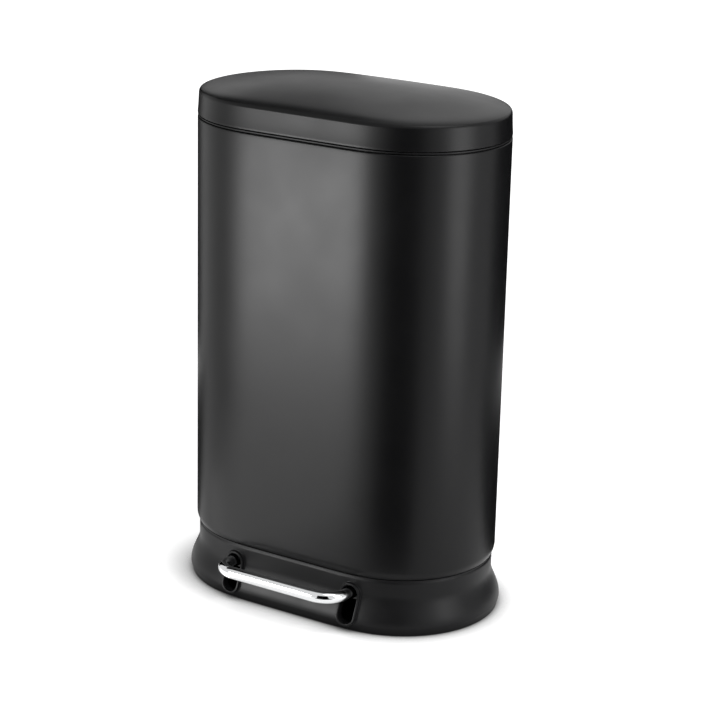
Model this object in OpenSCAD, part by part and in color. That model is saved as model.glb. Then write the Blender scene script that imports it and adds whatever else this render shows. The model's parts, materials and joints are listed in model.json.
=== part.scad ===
// Slim pedal bin: a steel bin on a flared plastic base, with a domed lid that a chrome foot bar lifts.
// X runs across the front, the front faces -Y, Z is up, and the feet stand on Z = 0.
// Pressing the bar tips a lever under the deck, its rear arm lifts a rod, and the rod turns the lid.

/* [Shell] */
// Width of the steel shell
shell_w = 402; // [380:2:440]
// Depth of the steel shell
shell_d = 240; // [236:2:260]
// Height of the steel shell above the base
shell_h = 520; // [480:10:580]
// Thickness of the steel sheet
sheet_t = 0.8; // [0.6:0.1:1.2]
// Width of the hem folded in at the top of the shell
hem_w = 4; // [3:0.5:5]
// How far the foot of the shell turns in
turn_in = 3; // [2:0.25:3.25]
// Height over which the foot of the shell turns in
turn_in_h = 10; // [6:1:14]

/* [Base] */
// Height of the seam between base and shell above the floor
base_h = 70; // [68:1:80]
// How far the flare stands out past the shell
flare = 8; // [5:0.5:10]
// How far the base's neck lies inside the foot of the shell
neck_step = 0.3; // [0.1:0.1:0.5]
// Height at which the flare begins, going down
flare_top = 48; // [44:1:52]
// Height of the widest line of the flare
flare_low = 10; // [8:0.5:11]
// How far the bottom bevel draws in
bevel = 2; // [1:0.5:3]
// Wall of the plastic base
base_wall = 3; // [2.5:0.25:3.5]
// How far the skirt stays off the floor
skirt_lift = 1.5; // [1:0.25:2]
// Height of the collar that the shell slips over
spigot_h = 14; // [10:1:20]
// Thickness of the deck inside the base
deck_t = 3; // [2.5:0.5:4]
// Height of the rails that the bucket stands on
rail_h = 4; // [3:0.5:6]
// Radius of the posts under the deck
post_r = 9; // [8:0.5:10]
// Radius of the rubber feet
foot_r = 12; // [10:0.5:13]
// Height of the rubber feet under the bottom plate
foot_h = 3; // [2.5:0.5:5]
// Thickness of the bottom plate
bottom_t = 2; // [1.5:0.25:3]

/* [Pedal slots] */
// Gap between the bar's arm and each side of its slot
slot_side_gap = 2.75; // [2:0.25:4]
// Gap between the raised arm and the slot's upper end
slot_top_gap = 1.7; // [1:0.1:3]
// Height of each slot's lower end above the floor
slot_z = 9.5; // [9:0.5:10]
// Wall of the collar round each slot
collar_w = 3; // [2:0.25:4]
// How far the collar stands out
collar_out = 4.5; // [3:0.25:5]

/* [Foot bar] */
// Diameter of the chrome tube
bar_d = 15; // [14:0.5:16]
// Wall of the chrome tube
bar_wall = 1.5; // [1:0.1:2]
// Distance between the bar's two arms
bar_spread = 170; // [160:2:180]
// Distance from the shell's front to the middle of the bar
bar_reach = 40; // [38:1:50]
// Height of the middle of the bar above the floor, lid closed
bar_z = 51; // [50:0.5:53]
// Radius of the bends, to the middle of the tube
bend_r = 28; // [22:1:32]

/* [Lever] */
// Distance from the shell's front to the lever's axle
axle_back = 85.7; // [82:0.1:90]
// Diameter of the lever's axle
axle_d = 8; // [7:0.5:9]
// Wall of the tube that turns on the axle
hub_wall = 3; // [2.5:0.25:4]
// Thickness of the lever's plates
lever_t = 4; // [3:0.5:5]
// Width of the lever's tongue
tongue_w = 22; // [22:1:30]
// Length of the sockets that hold the bar's arms
socket_l = 34; // [30:1:36]
// Wall of the sockets
socket_wall = 2.8; // [2:0.2:3]
// Diameter of the two lift pins
lift_pin_d = 5; // [4:0.5:6]

/* [Lid] */
// Height of the lid's straight skirt
skirt_h = 24.6; // [22:0.2:28]
// Width of the rounded edge of the lid
edge_w = 12; // [8:1:16]
// Height of the rounded edge of the lid
edge_h = 7; // [5:0.5:9]
// Rise of the dome above the rounded edge
dome_h = 16.3; // [10:0.5:22]
// Height of the band between shell and lid
band_h = 4; // [3.5:0.25:6]
// Dark gap above and below the rim ring
band_gap = 0.6; // [0.4:0.1:0.8]
// Thickness of the plastic liner
liner_t = 1.6; // [1.2:0.1:2]
// Width of the ledge round the liner's lower edge
ledge_w = 7; // [6:0.5:8]

/* [Hinge] */
// Distance of the hinge axis behind the shell
hinge_back = 12; // [12:0.5:14]
// Distance of the hinge axis below the lid's lower edge
hinge_drop = 28; // [27:0.5:32]
// Angle through which the lid opens
lid_open = 76; // [70:1:78]
// Length of the lid's lever inside the shell
lid_lever = 24; // [22:0.5:24]
// Diameter of the hinge pin
hinge_pin_d = 6; // [5:0.5:7]
// Radius of the knuckles on the lid's bracket
knuckle_r = 8; // [7:0.5:8.5]
// Distance from the middle to the outside of the bracket's cheeks
cheek_x = 14; // [13:0.5:15]
// Thickness of the bracket's cheeks
cheek_t = 3; // [2:0.5:3.5]
// Thickness of the hinge housing's ears
ear_t = 4; // [3:0.5:5]
// Inner radius of the cover behind the hinge
cover_r = 15; // [13.5:0.5:16]

/* [Lift rod] */
// Diameter of the lift rod
rod_d = 6; // [5:0.5:7]
// Wall of the hook round the rod
hook_wall = 2.4; // [2:0.2:3]
// Thickness of the hook's prongs
prong_t = 3; // [2.5:0.25:3.5]
// Width of the hook and of the foot
hook_w = 10; // [8:1:12]
// Length of the return spring, lid closed
spring_l = 100; // [80:5:130]
// Number of turns of the return spring
spring_turns = 11; // [8:1:14]
// Wire of the return spring
spring_wire = 1.6; // [1.2:0.1:1.8]
// Distance from the rod to the damper
damper_x = 22; // [20:0.5:23]
// Diameter of the damper
damper_d = 12; // [10:0.5:13]
// Length of the damper
damper_l = 86; // [80:2:100]
// Half width of the channel cover
channel_x = 34; // [33:0.5:40]
// Thickness of the channel cover
channel_t = 1.2; // [1:0.1:1.6]

/* [Bucket] */
// Thickness of the bucket's wall
bucket_t = 2; // [1.5:0.25:2.5]
// Width of the bucket's rim
bucket_rim = 6; // [4:0.5:8]
// Distance from the shell's top to the bucket's rim
bucket_drop = 19; // [18:1:40]
// Gap between the bucket and the channel cover
bucket_gap = 2; // [1.5:0.5:5]
// Length of the bucket handles' legs
handle_l = 30; // [24:1:32]
// Half width of the bucket handles
handle_y = 37; // [32:1:42]
// Diameter of the handles' wire
handle_d = 4; // [3:0.5:5]

/* [Fits] */
// Running clearance of a pin in its bore, on the radius
run_fit = 0.05; // [0.02:0.01:0.08]
// Clearance of a piece that is held but does not turn
slip = 0.05; // [0.03:0.01:0.08]
// Gap between faces that come to rest on each other
seat = 0.3; // [0.2:0.05:0.4]
// Play of the lift pins in their slots, on the radius
lift_play = 0.8; // [0.7:0.05:1]

/* [Hidden] */
$fn = 72;

// Outline
shell_r = shell_d / 2;
end_x = (shell_w - shell_d) / 2;
shell_top = base_h + shell_h;
lid_z = shell_top + band_h;
ring_top = lid_z - band_gap;
edge_z = lid_z + skirt_h;

// Rim ring
ring_proud = 0.3;
ring_lip_t = 1.5;
ring_skirt_t = 2;
ring_skirt_h = 9.5;
ring_skirt_in = hem_w + seat;
ring_inner = ring_skirt_in + ring_skirt_t;

// Hinge and lift, in the middle plane of the bin
hinge_y = shell_r + hinge_back;
hinge_z = lid_z - hinge_drop;
lift_pin_r = lift_pin_d / 2;
rod_r = rod_d / 2;
rod_travel = 2 * lid_lever * sin(lid_open / 2);
lid_pin_y = hinge_y - lid_lever * cos(lid_open / 2);
lid_pin_z = hinge_z - rod_travel / 2;
throat_y = hinge_y - lid_lever - lift_pin_r - lift_play;
rod_y = throat_y - hook_wall - rod_r;
prong_y = lid_pin_y + lift_pin_r;
eye_r = lift_pin_r + 2.5;
eye_half = 4.5;

// Lever
bar_r = bar_d / 2;
pivot_y = axle_back - shell_r;
rod_reach = rod_y - pivot_y;
rear_arm = rod_reach + pow(rod_travel / 4, 2) / rod_reach;
tilt = asin(rod_travel / 2 / rear_arm);
bar_y = -(shell_r + bar_reach);
pivot_z = bar_z - (pivot_y - bar_y) * tan(tilt);
front_arm = (pivot_y - bar_y) / cos(tilt);
lever_pin_z = pivot_z - rod_travel / 2;
hub_r = axle_d / 2 + hub_wall;
socket_r = bar_r + socket_wall;
arm_x = bar_spread / 2;
slot_r = bar_r + slot_side_gap;
slot_top = pivot_z + (axle_back + collar_out) * tan(tilt) + bar_r / cos(tilt) + slot_top_gap;
socket_back = 40;
bracket_t = 3;
bracket_gap = 1.5;
bracket_x = arm_x + socket_r + bracket_gap;
bracket_r = 11;
flange_w = 16;
clip_t = 1;
lever_ear_t = 3;
lever_ear_x = hook_w / 2 + 3;
hub_x = bracket_x - bracket_gap;
stop_r = 7;
stop_y = pivot_y - socket_back - socket_l / 2;
stop_low = pivot_z + (pivot_y - stop_y + stop_r) * tan(tilt) + socket_r / cos(tilt) + seat;
bracket_screw_out = 6.5;
bracket_screw_x = bracket_x + bracket_t + bracket_screw_out;
bracket_screw_y = 6;

// Base
neck = turn_in + neck_step;
spigot_out = turn_in + sheet_t + 0.4;
spigot_in = neck + base_wall;
deck_z = base_h - 1;
deck_low = deck_z - deck_t;
deck_in = spigot_in + 0.5;
post_out = 62;
post_x = end_x + post_out;
post_y = 66;
deck_screw_r = 2.5;
deck_screw_head_r = 4.5;
deck_screw_head_h = 2.5;
deck_screw_l = 18;
web_t = 3;
web_step = 2;
post_low = foot_h + bottom_t;
stem_r = 4;
stem_l = 9;
rail_y = 50;

// Rod channel
wall_y = shell_r - sheet_t;
channel_y = rod_y - 11;
channel_top = shell_top - 18;
foot_clear_z = base_h + max(spigot_h, turn_in_h) + 0.5;
guide_h = 12;
guide_w = 18;
upper_guide_z = lid_pin_z - 50;
spring_top = upper_guide_z;
collar_h = 6;
collar_r = 7;
bracket_plate = 2;
plunger_r = 2;
damper_r = damper_d / 2;
damper_wall = 1.4;
damper_cap = 4;
ring_wall = 2;
ring_h = 10;
ring_inset = 12;
damper_drop = 70;
damper_z = spring_top - spring_l - collar_h - damper_drop;
clip_h = 8;
clip_z = damper_z - rod_travel - 4 - clip_h;

// Hinge hardware
window_x = cheek_x + 3;
window_half = 19;
window_low = hinge_z - window_half;
window_high = hinge_z + window_half;
plate_x = 30;
plate_drop = 25;
plate_rise = 20;
plate_low = hinge_z - plate_drop;
plate_high = hinge_z + plate_rise;
backplate_t = 1.5;
housing_t = 3;
ear_x = window_x;
ear_boss_r = 9;
screw_x = 25.5;
screw_drop = 20;
screw_rise = 10;
screw_zs = [hinge_z - screw_drop, hinge_z + screw_rise];
screw_r = 2;
screw_head_r = 3.8;
screw_head_h = 2.4;
nut_r = 4;
nut_h = 2.6;
cover_t = 2;
cover_notch = 3;
cover_x = plate_x - 2;
cover_drop = 4;
cover_top = hinge_z - cover_drop;

// Lid hardware
liner_gap = 0.3;
liner_low = lid_z + 1;
liner_out = sheet_t + liner_gap;
bumper_r = 3;
lid_plate_t = 1.6;
lid_plate_x = cheek_x + 9;
lid_plate_low = lid_z + 2;
lid_plate_high = lid_z + 20;
rivet_r = 2;
rivet_head_r = 3.5;
rivet_head_h = 1.2;
rivet_x = cheek_x + 4.5;
rivet_zs = [lid_plate_low + 4.5, lid_plate_high - 4.5];

// Bucket
bucket_top = shell_top - bucket_drop;
bucket_low = deck_z + rail_h;
bucket_front = -(shell_r - ring_inner - 1.3);
bucket_rear = channel_y - bucket_gap;
bucket_d = bucket_rear - bucket_front;
bucket_y = (bucket_front + bucket_rear) / 2;
bucket_end_x = end_x + 5;
bucket_w = bucket_d + 2 * bucket_end_x;
lug_t = 5;
lug_r = 5;
handle_r = handle_d / 2;
handle_bend = 7;
handle_x = bucket_end_x + sqrt(pow(bucket_d / 2 - bucket_rim - bucket_t, 2) - pow(handle_y + lug_t, 2)) - 8;
handle_z = bucket_top - 9;

// The origin lies in the middle of the floor box, from the foot bar to the hinge cover
front_reach = -bar_y + bar_r;
rear_reach = hinge_y + sqrt(pow(cover_r + cover_t, 2) - pow(hinge_z - cover_top, 2));
shift_y = (front_reach - rear_reach) / 2;

// Colours
black_paint = "#1b1b1c";
black_plastic = "#202021";
grey_plastic = "#5a5b5d";
rubber_black = "#111112";
chrome_metal = "#d8d9da";
zinc_steel = "#a9abae";
white_nylon = "#e4e2da";

// ---------- Shared shapes ----------

module place() translate([0, shift_y, 0]) children();

module stadium(w, d) {
    square([w - d, d], center = true);
    for (s = [-1, 1])
        translate([s * (w - d) / 2, 0]) circle(d = d);
}

// Carries a profile, drawn as (radius, height), round the outline of the shell
module sweep_round() {
    for (s = [-1, 1])
        translate([s * end_x, 0, 0]) rotate([0, 0, -s * 90]) rotate_extrude(angle = 180) children();
    for (m = [0, 1])
        mirror([0, m, 0]) translate([-end_x, 0, 0]) rotate([90, 0, 90]) linear_extrude(2 * end_x) children();
}

module x_cylinder(r, x0, x1, y, z) translate([x0, y, z]) rotate([0, 90, 0]) cylinder(r = r, h = x1 - x0);

module y_cylinder(r, x, y0, y1, z) translate([x, y0, z]) rotate([-90, 0, 0]) cylinder(r = r, h = y1 - y0);

module z_cylinder(r, x, y, z0, z1) translate([x, y, z0]) cylinder(r = r, h = z1 - z0);

module block(x0, x1, y0, y1, z0, z1) translate([x0, y0, z0]) cube([x1 - x0, y1 - y0, z1 - z0]);

// A plate standing in the YZ plane, drawn as (y, z), from x0 to x1
module yz_plate(x0, x1) translate([x0, 0, 0]) rotate([90, 0, 90]) linear_extrude(x1 - x0) children();

// A flat strip from point a to point b, with half width h
module strip(a, b, h) {
    v = b - a;
    translate(a) rotate(atan2(v[1], v[0])) translate([0, -h]) square([norm(v), 2 * h]);
}

// A quarter bend of round tube in the XY plane, turning about the origin
module bend(r, tube_r) rotate_extrude(angle = 90) translate([r, 0]) circle(tube_r);

module both_sides() {
    for (m = [0, 1])
        mirror([m, 0, 0]) children();
}

// ---------- Base ----------

flare_steps = 8;
flare_zs = [for (i = [0:flare_steps]) flare_low + (flare_top - flare_low) * i / flare_steps];
function smooth(t) = t * t * (3 - 2 * t);
function flare_out(z) = -neck + (neck + flare) * smooth((flare_top - z) / (flare_top - flare_low));

// The base wall between two distances from its outer face, both counted outward
module base_wall_2d(outer, inner) {
    foot_out = shell_r + flare - bevel;
    polygon(concat(
        [[foot_out + outer, skirt_lift]],
        [for (z = flare_zs) [shell_r + flare_out(z) + outer, z]],
        [[shell_r - neck + outer, base_h], [shell_r - neck + inner, base_h]],
        [for (i = [flare_steps:-1:0]) [shell_r + flare_out(flare_zs[i]) + inner, flare_zs[i]]],
        [[foot_out + inner, skirt_lift]]
    ));
}

module slot_outline(grow) {
    r = slot_r + grow;
    ends = [slot_z + slot_r, slot_top - slot_r];
    for (z = ends)
        translate([0, z]) circle(r);
    translate([-r, ends[0]]) square([2 * r, ends[1] - ends[0]]);
}

// The two pedal slots, cut from just inside the front wall outward
module slot_prisms(grow) {
    for (s = [-1, 1])
        translate([s * arm_x, -shell_r + 25, 0]) rotate([90, 0, 0]) linear_extrude(60) slot_outline(grow);
}

module at_posts() {
    for (sx = [-1, 1], sy = [-1, 1])
        translate([sx * post_x, sy * post_y, 0]) children();
}

// Webs that run from the posts out to the skirt
module post_webs() {
    intersection() {
        for (sx = [-1, 1], sy = [-1, 1])
            translate([sx * end_x, 0, 0]) rotate([0, 0, atan2(sy * post_y, sx * (post_x - end_x))])
                block(norm([post_x - end_x, post_y]), shell_r, -web_t / 2, web_t / 2, post_low + web_step, deck_low - web_step);
        linear_extrude(base_h) stadium(shell_w - 2 * neck - base_wall, shell_d - 2 * neck - base_wall);
    }
}

module base_skirt() color(black_plastic) place() {
    difference() {
        union() {
            sweep_round() base_wall_2d(0, -base_wall);
            sweep_round() translate([shell_r - spigot_in, base_h - base_wall])
                square([spigot_in - spigot_out, base_wall + spigot_h]);
            intersection() {
                sweep_round() base_wall_2d(collar_out, -base_wall / 2);
                slot_prisms(collar_w);
            }
            at_posts() z_cylinder(post_r, 0, 0, post_low, deck_low);
            post_webs();
        }
        slot_prisms(0);
        at_posts() z_cylinder(deck_screw_r + slip, 0, 0, deck_z - deck_screw_l - 1, deck_low + 1);
        at_posts() z_cylinder(stem_r + slip, 0, 0, post_low - 1, post_low + stem_l + 1);
    }
}

// Closes the underside, held between the feet and the posts
module bottom_plate() color(black_plastic) place() difference() {
    edge = shell_r + flare - bevel - base_wall - seat;
    translate([0, 0, foot_h]) linear_extrude(bottom_t) stadium(2 * (end_x + edge), 2 * edge);
    at_posts() z_cylinder(stem_r + slip, 0, 0, foot_h - 1, post_low + 1);
}

module deck() color(black_plastic) place() {
    difference() {
        union() {
            translate([0, 0, deck_low]) linear_extrude(deck_t) stadium(shell_w - 2 * deck_in, shell_d - 2 * deck_in);
            for (s = [-1, 1])
                translate([0, bucket_y + s * rail_y, 0]) block(-end_x, end_x, -3, 3, deck_low, deck_z + rail_h);
        }
        at_posts() z_cylinder(deck_screw_r + slip, 0, 0, deck_low - 1, deck_z + 1);
        at_bracket_screws() z_cylinder(screw_r + slip, 0, 0, deck_low - 1, deck_z + 1);
        z_cylinder(rod_r + 2, 0, rod_y, deck_low - 1, deck_z + 1);
    }
}

module rubber_feet() color(rubber_black) place() at_posts() {
    z_cylinder(foot_r, 0, 0, 0, foot_h);
    z_cylinder(stem_r, 0, 0, foot_h, post_low + stem_l);
}

module deck_screws() color(zinc_steel) place() at_posts() {
    z_cylinder(deck_screw_head_r, 0, 0, deck_z, deck_z + deck_screw_head_h);
    z_cylinder(deck_screw_r, 0, 0, deck_z - deck_screw_l, deck_z);
}

// ---------- Shell ----------

turn_steps = 4;
turn_ts = [for (i = [0:turn_steps]) i / turn_steps];

module shell_2d() {
    outer = [for (t = turn_ts) [shell_r - turn_in * pow(1 - t, 2), base_h + turn_in_h * t]];
    inner = [for (i = [turn_steps:-1:0]) outer[i] - [sheet_t, 0]];
    hem = shell_r - hem_w;
    polygon(concat(
        outer,
        [[shell_r, shell_top], [hem, shell_top], [hem, shell_top - sheet_t]],
        [[shell_r - sheet_t, shell_top - sheet_t]],
        inner
    ));
}

module window(y0, y1, high) block(-window_x, window_x, y0, y1, window_low, high);

module screw_holes(y0, y1) both_sides() for (z = screw_zs) y_cylinder(screw_r + slip, screw_x, y0, y1, z);

module shell() color(black_paint) place() {
    difference() {
        sweep_round() shell_2d();
        window(wall_y - 1, shell_r + 1, window_high);
        screw_holes(wall_y - 1, shell_r + 1);
    }
}

module rim_ring() color(black_plastic) place() {
    difference() {
        sweep_round() translate([shell_r, 0]) polygon([
            [-ring_proud, shell_top + band_gap], [-ring_proud, ring_top], [-ring_inner, ring_top],
            [-ring_inner, ring_top - ring_skirt_h], [-ring_skirt_in, ring_top - ring_skirt_h],
            [-ring_skirt_in, shell_top], [-ring_proud - ring_lip_t, shell_top],
            [-ring_proud - ring_lip_t, shell_top + band_gap]
        ]);
        block(-window_x, window_x, shell_r - ring_inner - 1, shell_r - ring_skirt_in + 1, window_low, shell_top);
    }
}

// ---------- Hinge ----------

module hinge_backplate() color(zinc_steel) place() {
    difference() {
        block(-plate_x, plate_x, wall_y - backplate_t, wall_y, plate_low, plate_high);
        window(wall_y - backplate_t - 1, wall_y + 1, window_high);
        screw_holes(wall_y - backplate_t - 1, wall_y + 1);
    }
}

module hinge_housing() color(black_plastic) place() {
    face_y = shell_r + housing_t;
    difference() {
        union() {
            difference() {
                block(-plate_x, plate_x, shell_r, face_y, plate_low, plate_high);
                window(shell_r - 1, face_y + 1, plate_high + 1);
            }
            both_sides() yz_plate(ear_x, ear_x + ear_t) {
                translate([hinge_y, hinge_z]) circle(ear_boss_r);
                translate([shell_r, hinge_z - ear_boss_r]) square([hinge_back, 2 * ear_boss_r]);
            }
        }
        x_cylinder(hinge_pin_d / 2 + slip, -plate_x, plate_x, hinge_y, hinge_z);
        screw_holes(shell_r - 1, face_y + 1);
    }
}

module hinge_screws() color(zinc_steel) place() both_sides() for (z = screw_zs) {
    y_cylinder(screw_head_r, screw_x, shell_r + housing_t, shell_r + housing_t + screw_head_h, z);
    y_cylinder(screw_r, screw_x, wall_y - backplate_t - nut_h - 1, shell_r + housing_t, z);
}

module hinge_nuts() color(zinc_steel) place() both_sides() for (z = screw_zs) {
    difference() {
        translate([screw_x, wall_y - backplate_t - nut_h, z]) rotate([-90, 0, 0])
            cylinder(r = nut_r, h = nut_h, $fn = 6);
        y_cylinder(screw_r + slip, screw_x, wall_y - backplate_t - nut_h - 1, wall_y, z);
    }
}

module hinge_pin() color(zinc_steel) place() {
    end = ear_x + ear_t;
    x_cylinder(hinge_pin_d / 2, -end - 1, end + 1, hinge_y, hinge_z);
    both_sides() x_cylinder(hinge_pin_d / 2 + 1.5, end, end + 2, hinge_y, hinge_z);
}

module hinge_bushes() color(white_nylon) place() both_sides() difference() {
    x_cylinder(hinge_pin_d / 2 + 3, cheek_x + seat, ear_x, hinge_y, hinge_z);
    x_cylinder(hinge_pin_d / 2 + run_fit, cheek_x, ear_x + 1, hinge_y, hinge_z);
}

module hinge_cover() color(black_plastic) place() {
    outer = cover_r + cover_t;
    difference() {
        x_cylinder(outer, -cover_x, cover_x, hinge_y, hinge_z);
        x_cylinder(cover_r, -cover_x + cover_t, cover_x - cover_t, hinge_y, hinge_z);
        block(-plate_x, plate_x, hinge_y - outer - 1, shell_r + housing_t, hinge_z - outer - 1, hinge_z + outer + 1);
        block(-plate_x, plate_x, hinge_y - outer - 1, hinge_y + outer + 1, cover_top, hinge_z + outer + 1);
        block(-window_x, window_x, shell_r, shell_r + housing_t + cover_notch, hinge_z - outer - 1, cover_top + 1);
    }
}

// ---------- Lid ----------

edge_steps = 6;
dome_steps = 6;
lid_ds = concat(
    [for (i = [0:edge_steps]) edge_w * (1 - cos(90 * i / edge_steps))],
    [for (i = [1:dome_steps]) edge_w + (shell_r - edge_w) * i / dome_steps]
);
last_d = len(lid_ds) - 1;
function lid_rise(d) = edge_h * sqrt(1 - pow(1 - min(d / edge_w, 1), 2)) + dome_h * sin(90 * d / shell_r);

// A point of the lid's outline, drawn in from the outside by the inset
function lid_point(i, inset) = [
    (shell_r - inset) * (1 - lid_ds[i] / shell_r),
    edge_z + lid_rise(lid_ds[i]) - inset
];

module lid_shell_2d() {
    polygon(concat(
        [[shell_r, lid_z]],
        [for (i = [0:last_d]) lid_point(i, 0)],
        [for (i = [last_d:-1:0]) lid_point(i, sheet_t)],
        [[shell_r - sheet_t, lid_z]]
    ));
}

module lid_liner_2d() {
    inside = liner_out + liner_t;
    polygon(concat(
        [[shell_r - liner_out - ledge_w, liner_low], [shell_r - liner_out, liner_low]],
        [for (i = [0:last_d]) lid_point(i, liner_out)],
        [for (i = [last_d:-1:0]) lid_point(i, inside)],
        [[shell_r - inside, liner_low + liner_t], [shell_r - liner_out - ledge_w, liner_low + liner_t]]
    ));
}

module at_rivets() both_sides() for (z = rivet_zs) translate([rivet_x, 0, z]) children();

module rivet_holes() at_rivets() y_cylinder(rivet_r + slip, 0, shell_r - 10, shell_r + 10, 0);

module lid_shell() color(black_paint) place() {
    difference() {
        sweep_round() lid_shell_2d();
        rivet_holes();
    }
}

module lid_liner() color(grey_plastic) place() {
    difference() {
        sweep_round() lid_liner_2d();
        rivet_holes();
    }
}

module lid_bumpers() color(rubber_black) place() {
    in = shell_r - liner_out - ledge_w / 2;
    both_sides() {
        for (s = [-1, 1])
            z_cylinder(bumper_r, end_x, s * in, ring_top + seat, liner_low);
        z_cylinder(bumper_r, end_x + in, 0, ring_top + seat, liner_low);
    }
}

module lid_bracket() color(zinc_steel) place() {
    back_y = shell_r + lid_plate_t;
    difference() {
        union() {
            block(-lid_plate_x, lid_plate_x, shell_r, back_y, lid_plate_low, lid_plate_high);
            both_sides() yz_plate(cheek_x - cheek_t, cheek_x) {
                translate([hinge_y, hinge_z]) circle(knuckle_r);
                translate([lid_pin_y, lid_pin_z]) circle(eye_r);
                strip([hinge_y, hinge_z], [lid_pin_y, lid_pin_z], eye_half);
                polygon([
                    [hinge_y - knuckle_r + 1, hinge_z], [shell_r + 2.5, lid_z - 4], [back_y - 0.5, lid_plate_low],
                    [back_y - 0.5, lid_plate_high], [back_y + 5, lid_plate_high], [hinge_y + knuckle_r - 1, hinge_z]
                ]);
            }
        }
        x_cylinder(hinge_pin_d / 2 + run_fit, -plate_x, plate_x, hinge_y, hinge_z);
        x_cylinder(lift_pin_r + slip, -plate_x, plate_x, lid_pin_y, lid_pin_z);
        rivet_holes();
    }
}

module lid_rivets() color(zinc_steel) place() at_rivets() {
    inside_y = shell_r - liner_out - liner_t;
    back_y = shell_r + lid_plate_t;
    y_cylinder(rivet_r, 0, inside_y, back_y, 0);
    y_cylinder(rivet_head_r, 0, inside_y - rivet_head_h, inside_y, 0);
    y_cylinder(rivet_head_r, 0, back_y, back_y + rivet_head_h, 0);
}

module lid_lift_pin() color(zinc_steel) place()
    x_cylinder(lift_pin_r, -cheek_x - 1.5, cheek_x + 1.5, lid_pin_y, lid_pin_z);

// ---------- Foot bar and lever ----------

// The lever's own frame: its axle lies on the X axis, and it tips up at the front while the lid is shut
module on_lever() translate([0, pivot_y, pivot_z]) rotate([-tilt, 0, 0]) children();

module tube_2d() difference() {
    circle(bar_r);
    circle(bar_r - bar_wall);
}

module foot_bar() color(chrome_metal) place() on_lever() {
    bend_x = arm_x - bend_r;
    bend_y = -front_arm + bend_r;
    translate([-bend_x, -front_arm, 0]) rotate([0, 90, 0]) linear_extrude(2 * bend_x) tube_2d();
    both_sides() {
        translate([bend_x, bend_y, 0]) rotate([0, 0, -90]) rotate_extrude(angle = 90)
            translate([bend_r, 0]) rotate(90) tube_2d();
        translate([arm_x, bend_y, 0]) rotate([-90, 0, 0]) linear_extrude(-socket_back - bend_y) tube_2d();
    }
}

module pedal_lever() color(zinc_steel) place() on_lever() {
    ear_end = lever_ear_x + lever_ear_t;
    difference() {
        union() {
            x_cylinder(hub_r, -hub_x, hub_x, 0, 0);
            both_sides() {
                y_cylinder(socket_r, arm_x, -socket_back - socket_l, -socket_back + lever_t, 0);
                block(arm_x - lever_t / 2, arm_x + lever_t / 2, -socket_back, 0, -hub_r, hub_r);
                yz_plate(lever_ear_x, ear_end) {
                    translate([rear_arm, 0]) circle(eye_r);
                    translate([rear_arm - 28, -eye_half]) square([28, 2 * eye_half]);
                    translate([0, -lever_t / 2]) square([rear_arm - 20, hub_r]);
                }
            }
            block(-max(tongue_w / 2, ear_end), max(tongue_w / 2, ear_end), 0, rear_arm - 14, -lever_t / 2, lever_t / 2);
        }
        x_cylinder(axle_d / 2 + run_fit, -hub_x - 1, hub_x + 1, 0, 0);
        both_sides() y_cylinder(bar_r + slip, arm_x, -socket_back - socket_l - 1, -socket_back, 0);
        x_cylinder(lift_pin_r + slip, -ear_end - 1, ear_end + 1, rear_arm, 0);
    }
}

module lever_lift_pin() color(zinc_steel) place() on_lever()
    x_cylinder(lift_pin_r, -lever_ear_x - lever_ear_t - 1.5, lever_ear_x + lever_ear_t + 1.5, rear_arm, 0);

module lever_axle() color(zinc_steel) place() {
    groove = bracket_x + bracket_t;
    difference() {
        x_cylinder(axle_d / 2, -groove - clip_t - 2, groove + clip_t + 2, pivot_y, pivot_z);
        both_sides() difference() {
            x_cylinder(axle_d / 2 + 1, groove, groove + clip_t + 0.1, pivot_y, pivot_z);
            x_cylinder(axle_d / 2 - 0.8, groove - 1, groove + clip_t + 1, pivot_y, pivot_z);
        }
    }
}

module axle_clips() color(zinc_steel) place() both_sides() difference() {
    x_cylinder(axle_d / 2 + 3, bracket_x + bracket_t, bracket_x + bracket_t + clip_t, pivot_y, pivot_z);
    x_cylinder(axle_d / 2 - 0.8 + slip, bracket_x, bracket_x + bracket_t + clip_t + 1, pivot_y, pivot_z);
}

module at_bracket_screws() both_sides()
    for (s = [-1, 1]) translate([bracket_screw_x, pivot_y + s * bracket_screw_y, 0]) children();

module axle_brackets() color(zinc_steel) place() difference() {
    both_sides() {
        yz_plate(bracket_x, bracket_x + bracket_t) {
            translate([pivot_y, pivot_z]) circle(bracket_r);
            translate([pivot_y - bracket_r, pivot_z]) square([2 * bracket_r, deck_low - pivot_z]);
        }
        block(
            bracket_x, bracket_x + flange_w, pivot_y - bracket_r, pivot_y + bracket_r,
            deck_low - bracket_t, deck_low
        );
    }
    x_cylinder(axle_d / 2 + slip, -bracket_x - flange_w, bracket_x + flange_w, pivot_y, pivot_z);
    at_bracket_screws() z_cylinder(screw_r + slip, 0, 0, deck_low - bracket_t - 1, deck_low + 1);
}

module bracket_screws() color(zinc_steel) place() at_bracket_screws() {
    z_cylinder(screw_head_r, 0, 0, deck_z, deck_z + screw_head_h);
    z_cylinder(screw_r, 0, 0, deck_low - bracket_t - 1.5, deck_z);
}

module lever_stops() color(rubber_black) place() both_sides()
    z_cylinder(stop_r, arm_x, stop_y, stop_low, deck_low);

// ---------- Lift rod ----------

foot_top = lever_pin_z + 12.5;
foot_bore = lever_pin_z + lift_pin_r + lift_play + 2;
hook_low = lid_pin_z - 22;
hook_bore = lid_pin_z + 2;

module lift_rod() color(zinc_steel) place() z_cylinder(rod_r, 0, rod_y, foot_bore + slip, hook_bore - slip);

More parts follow.
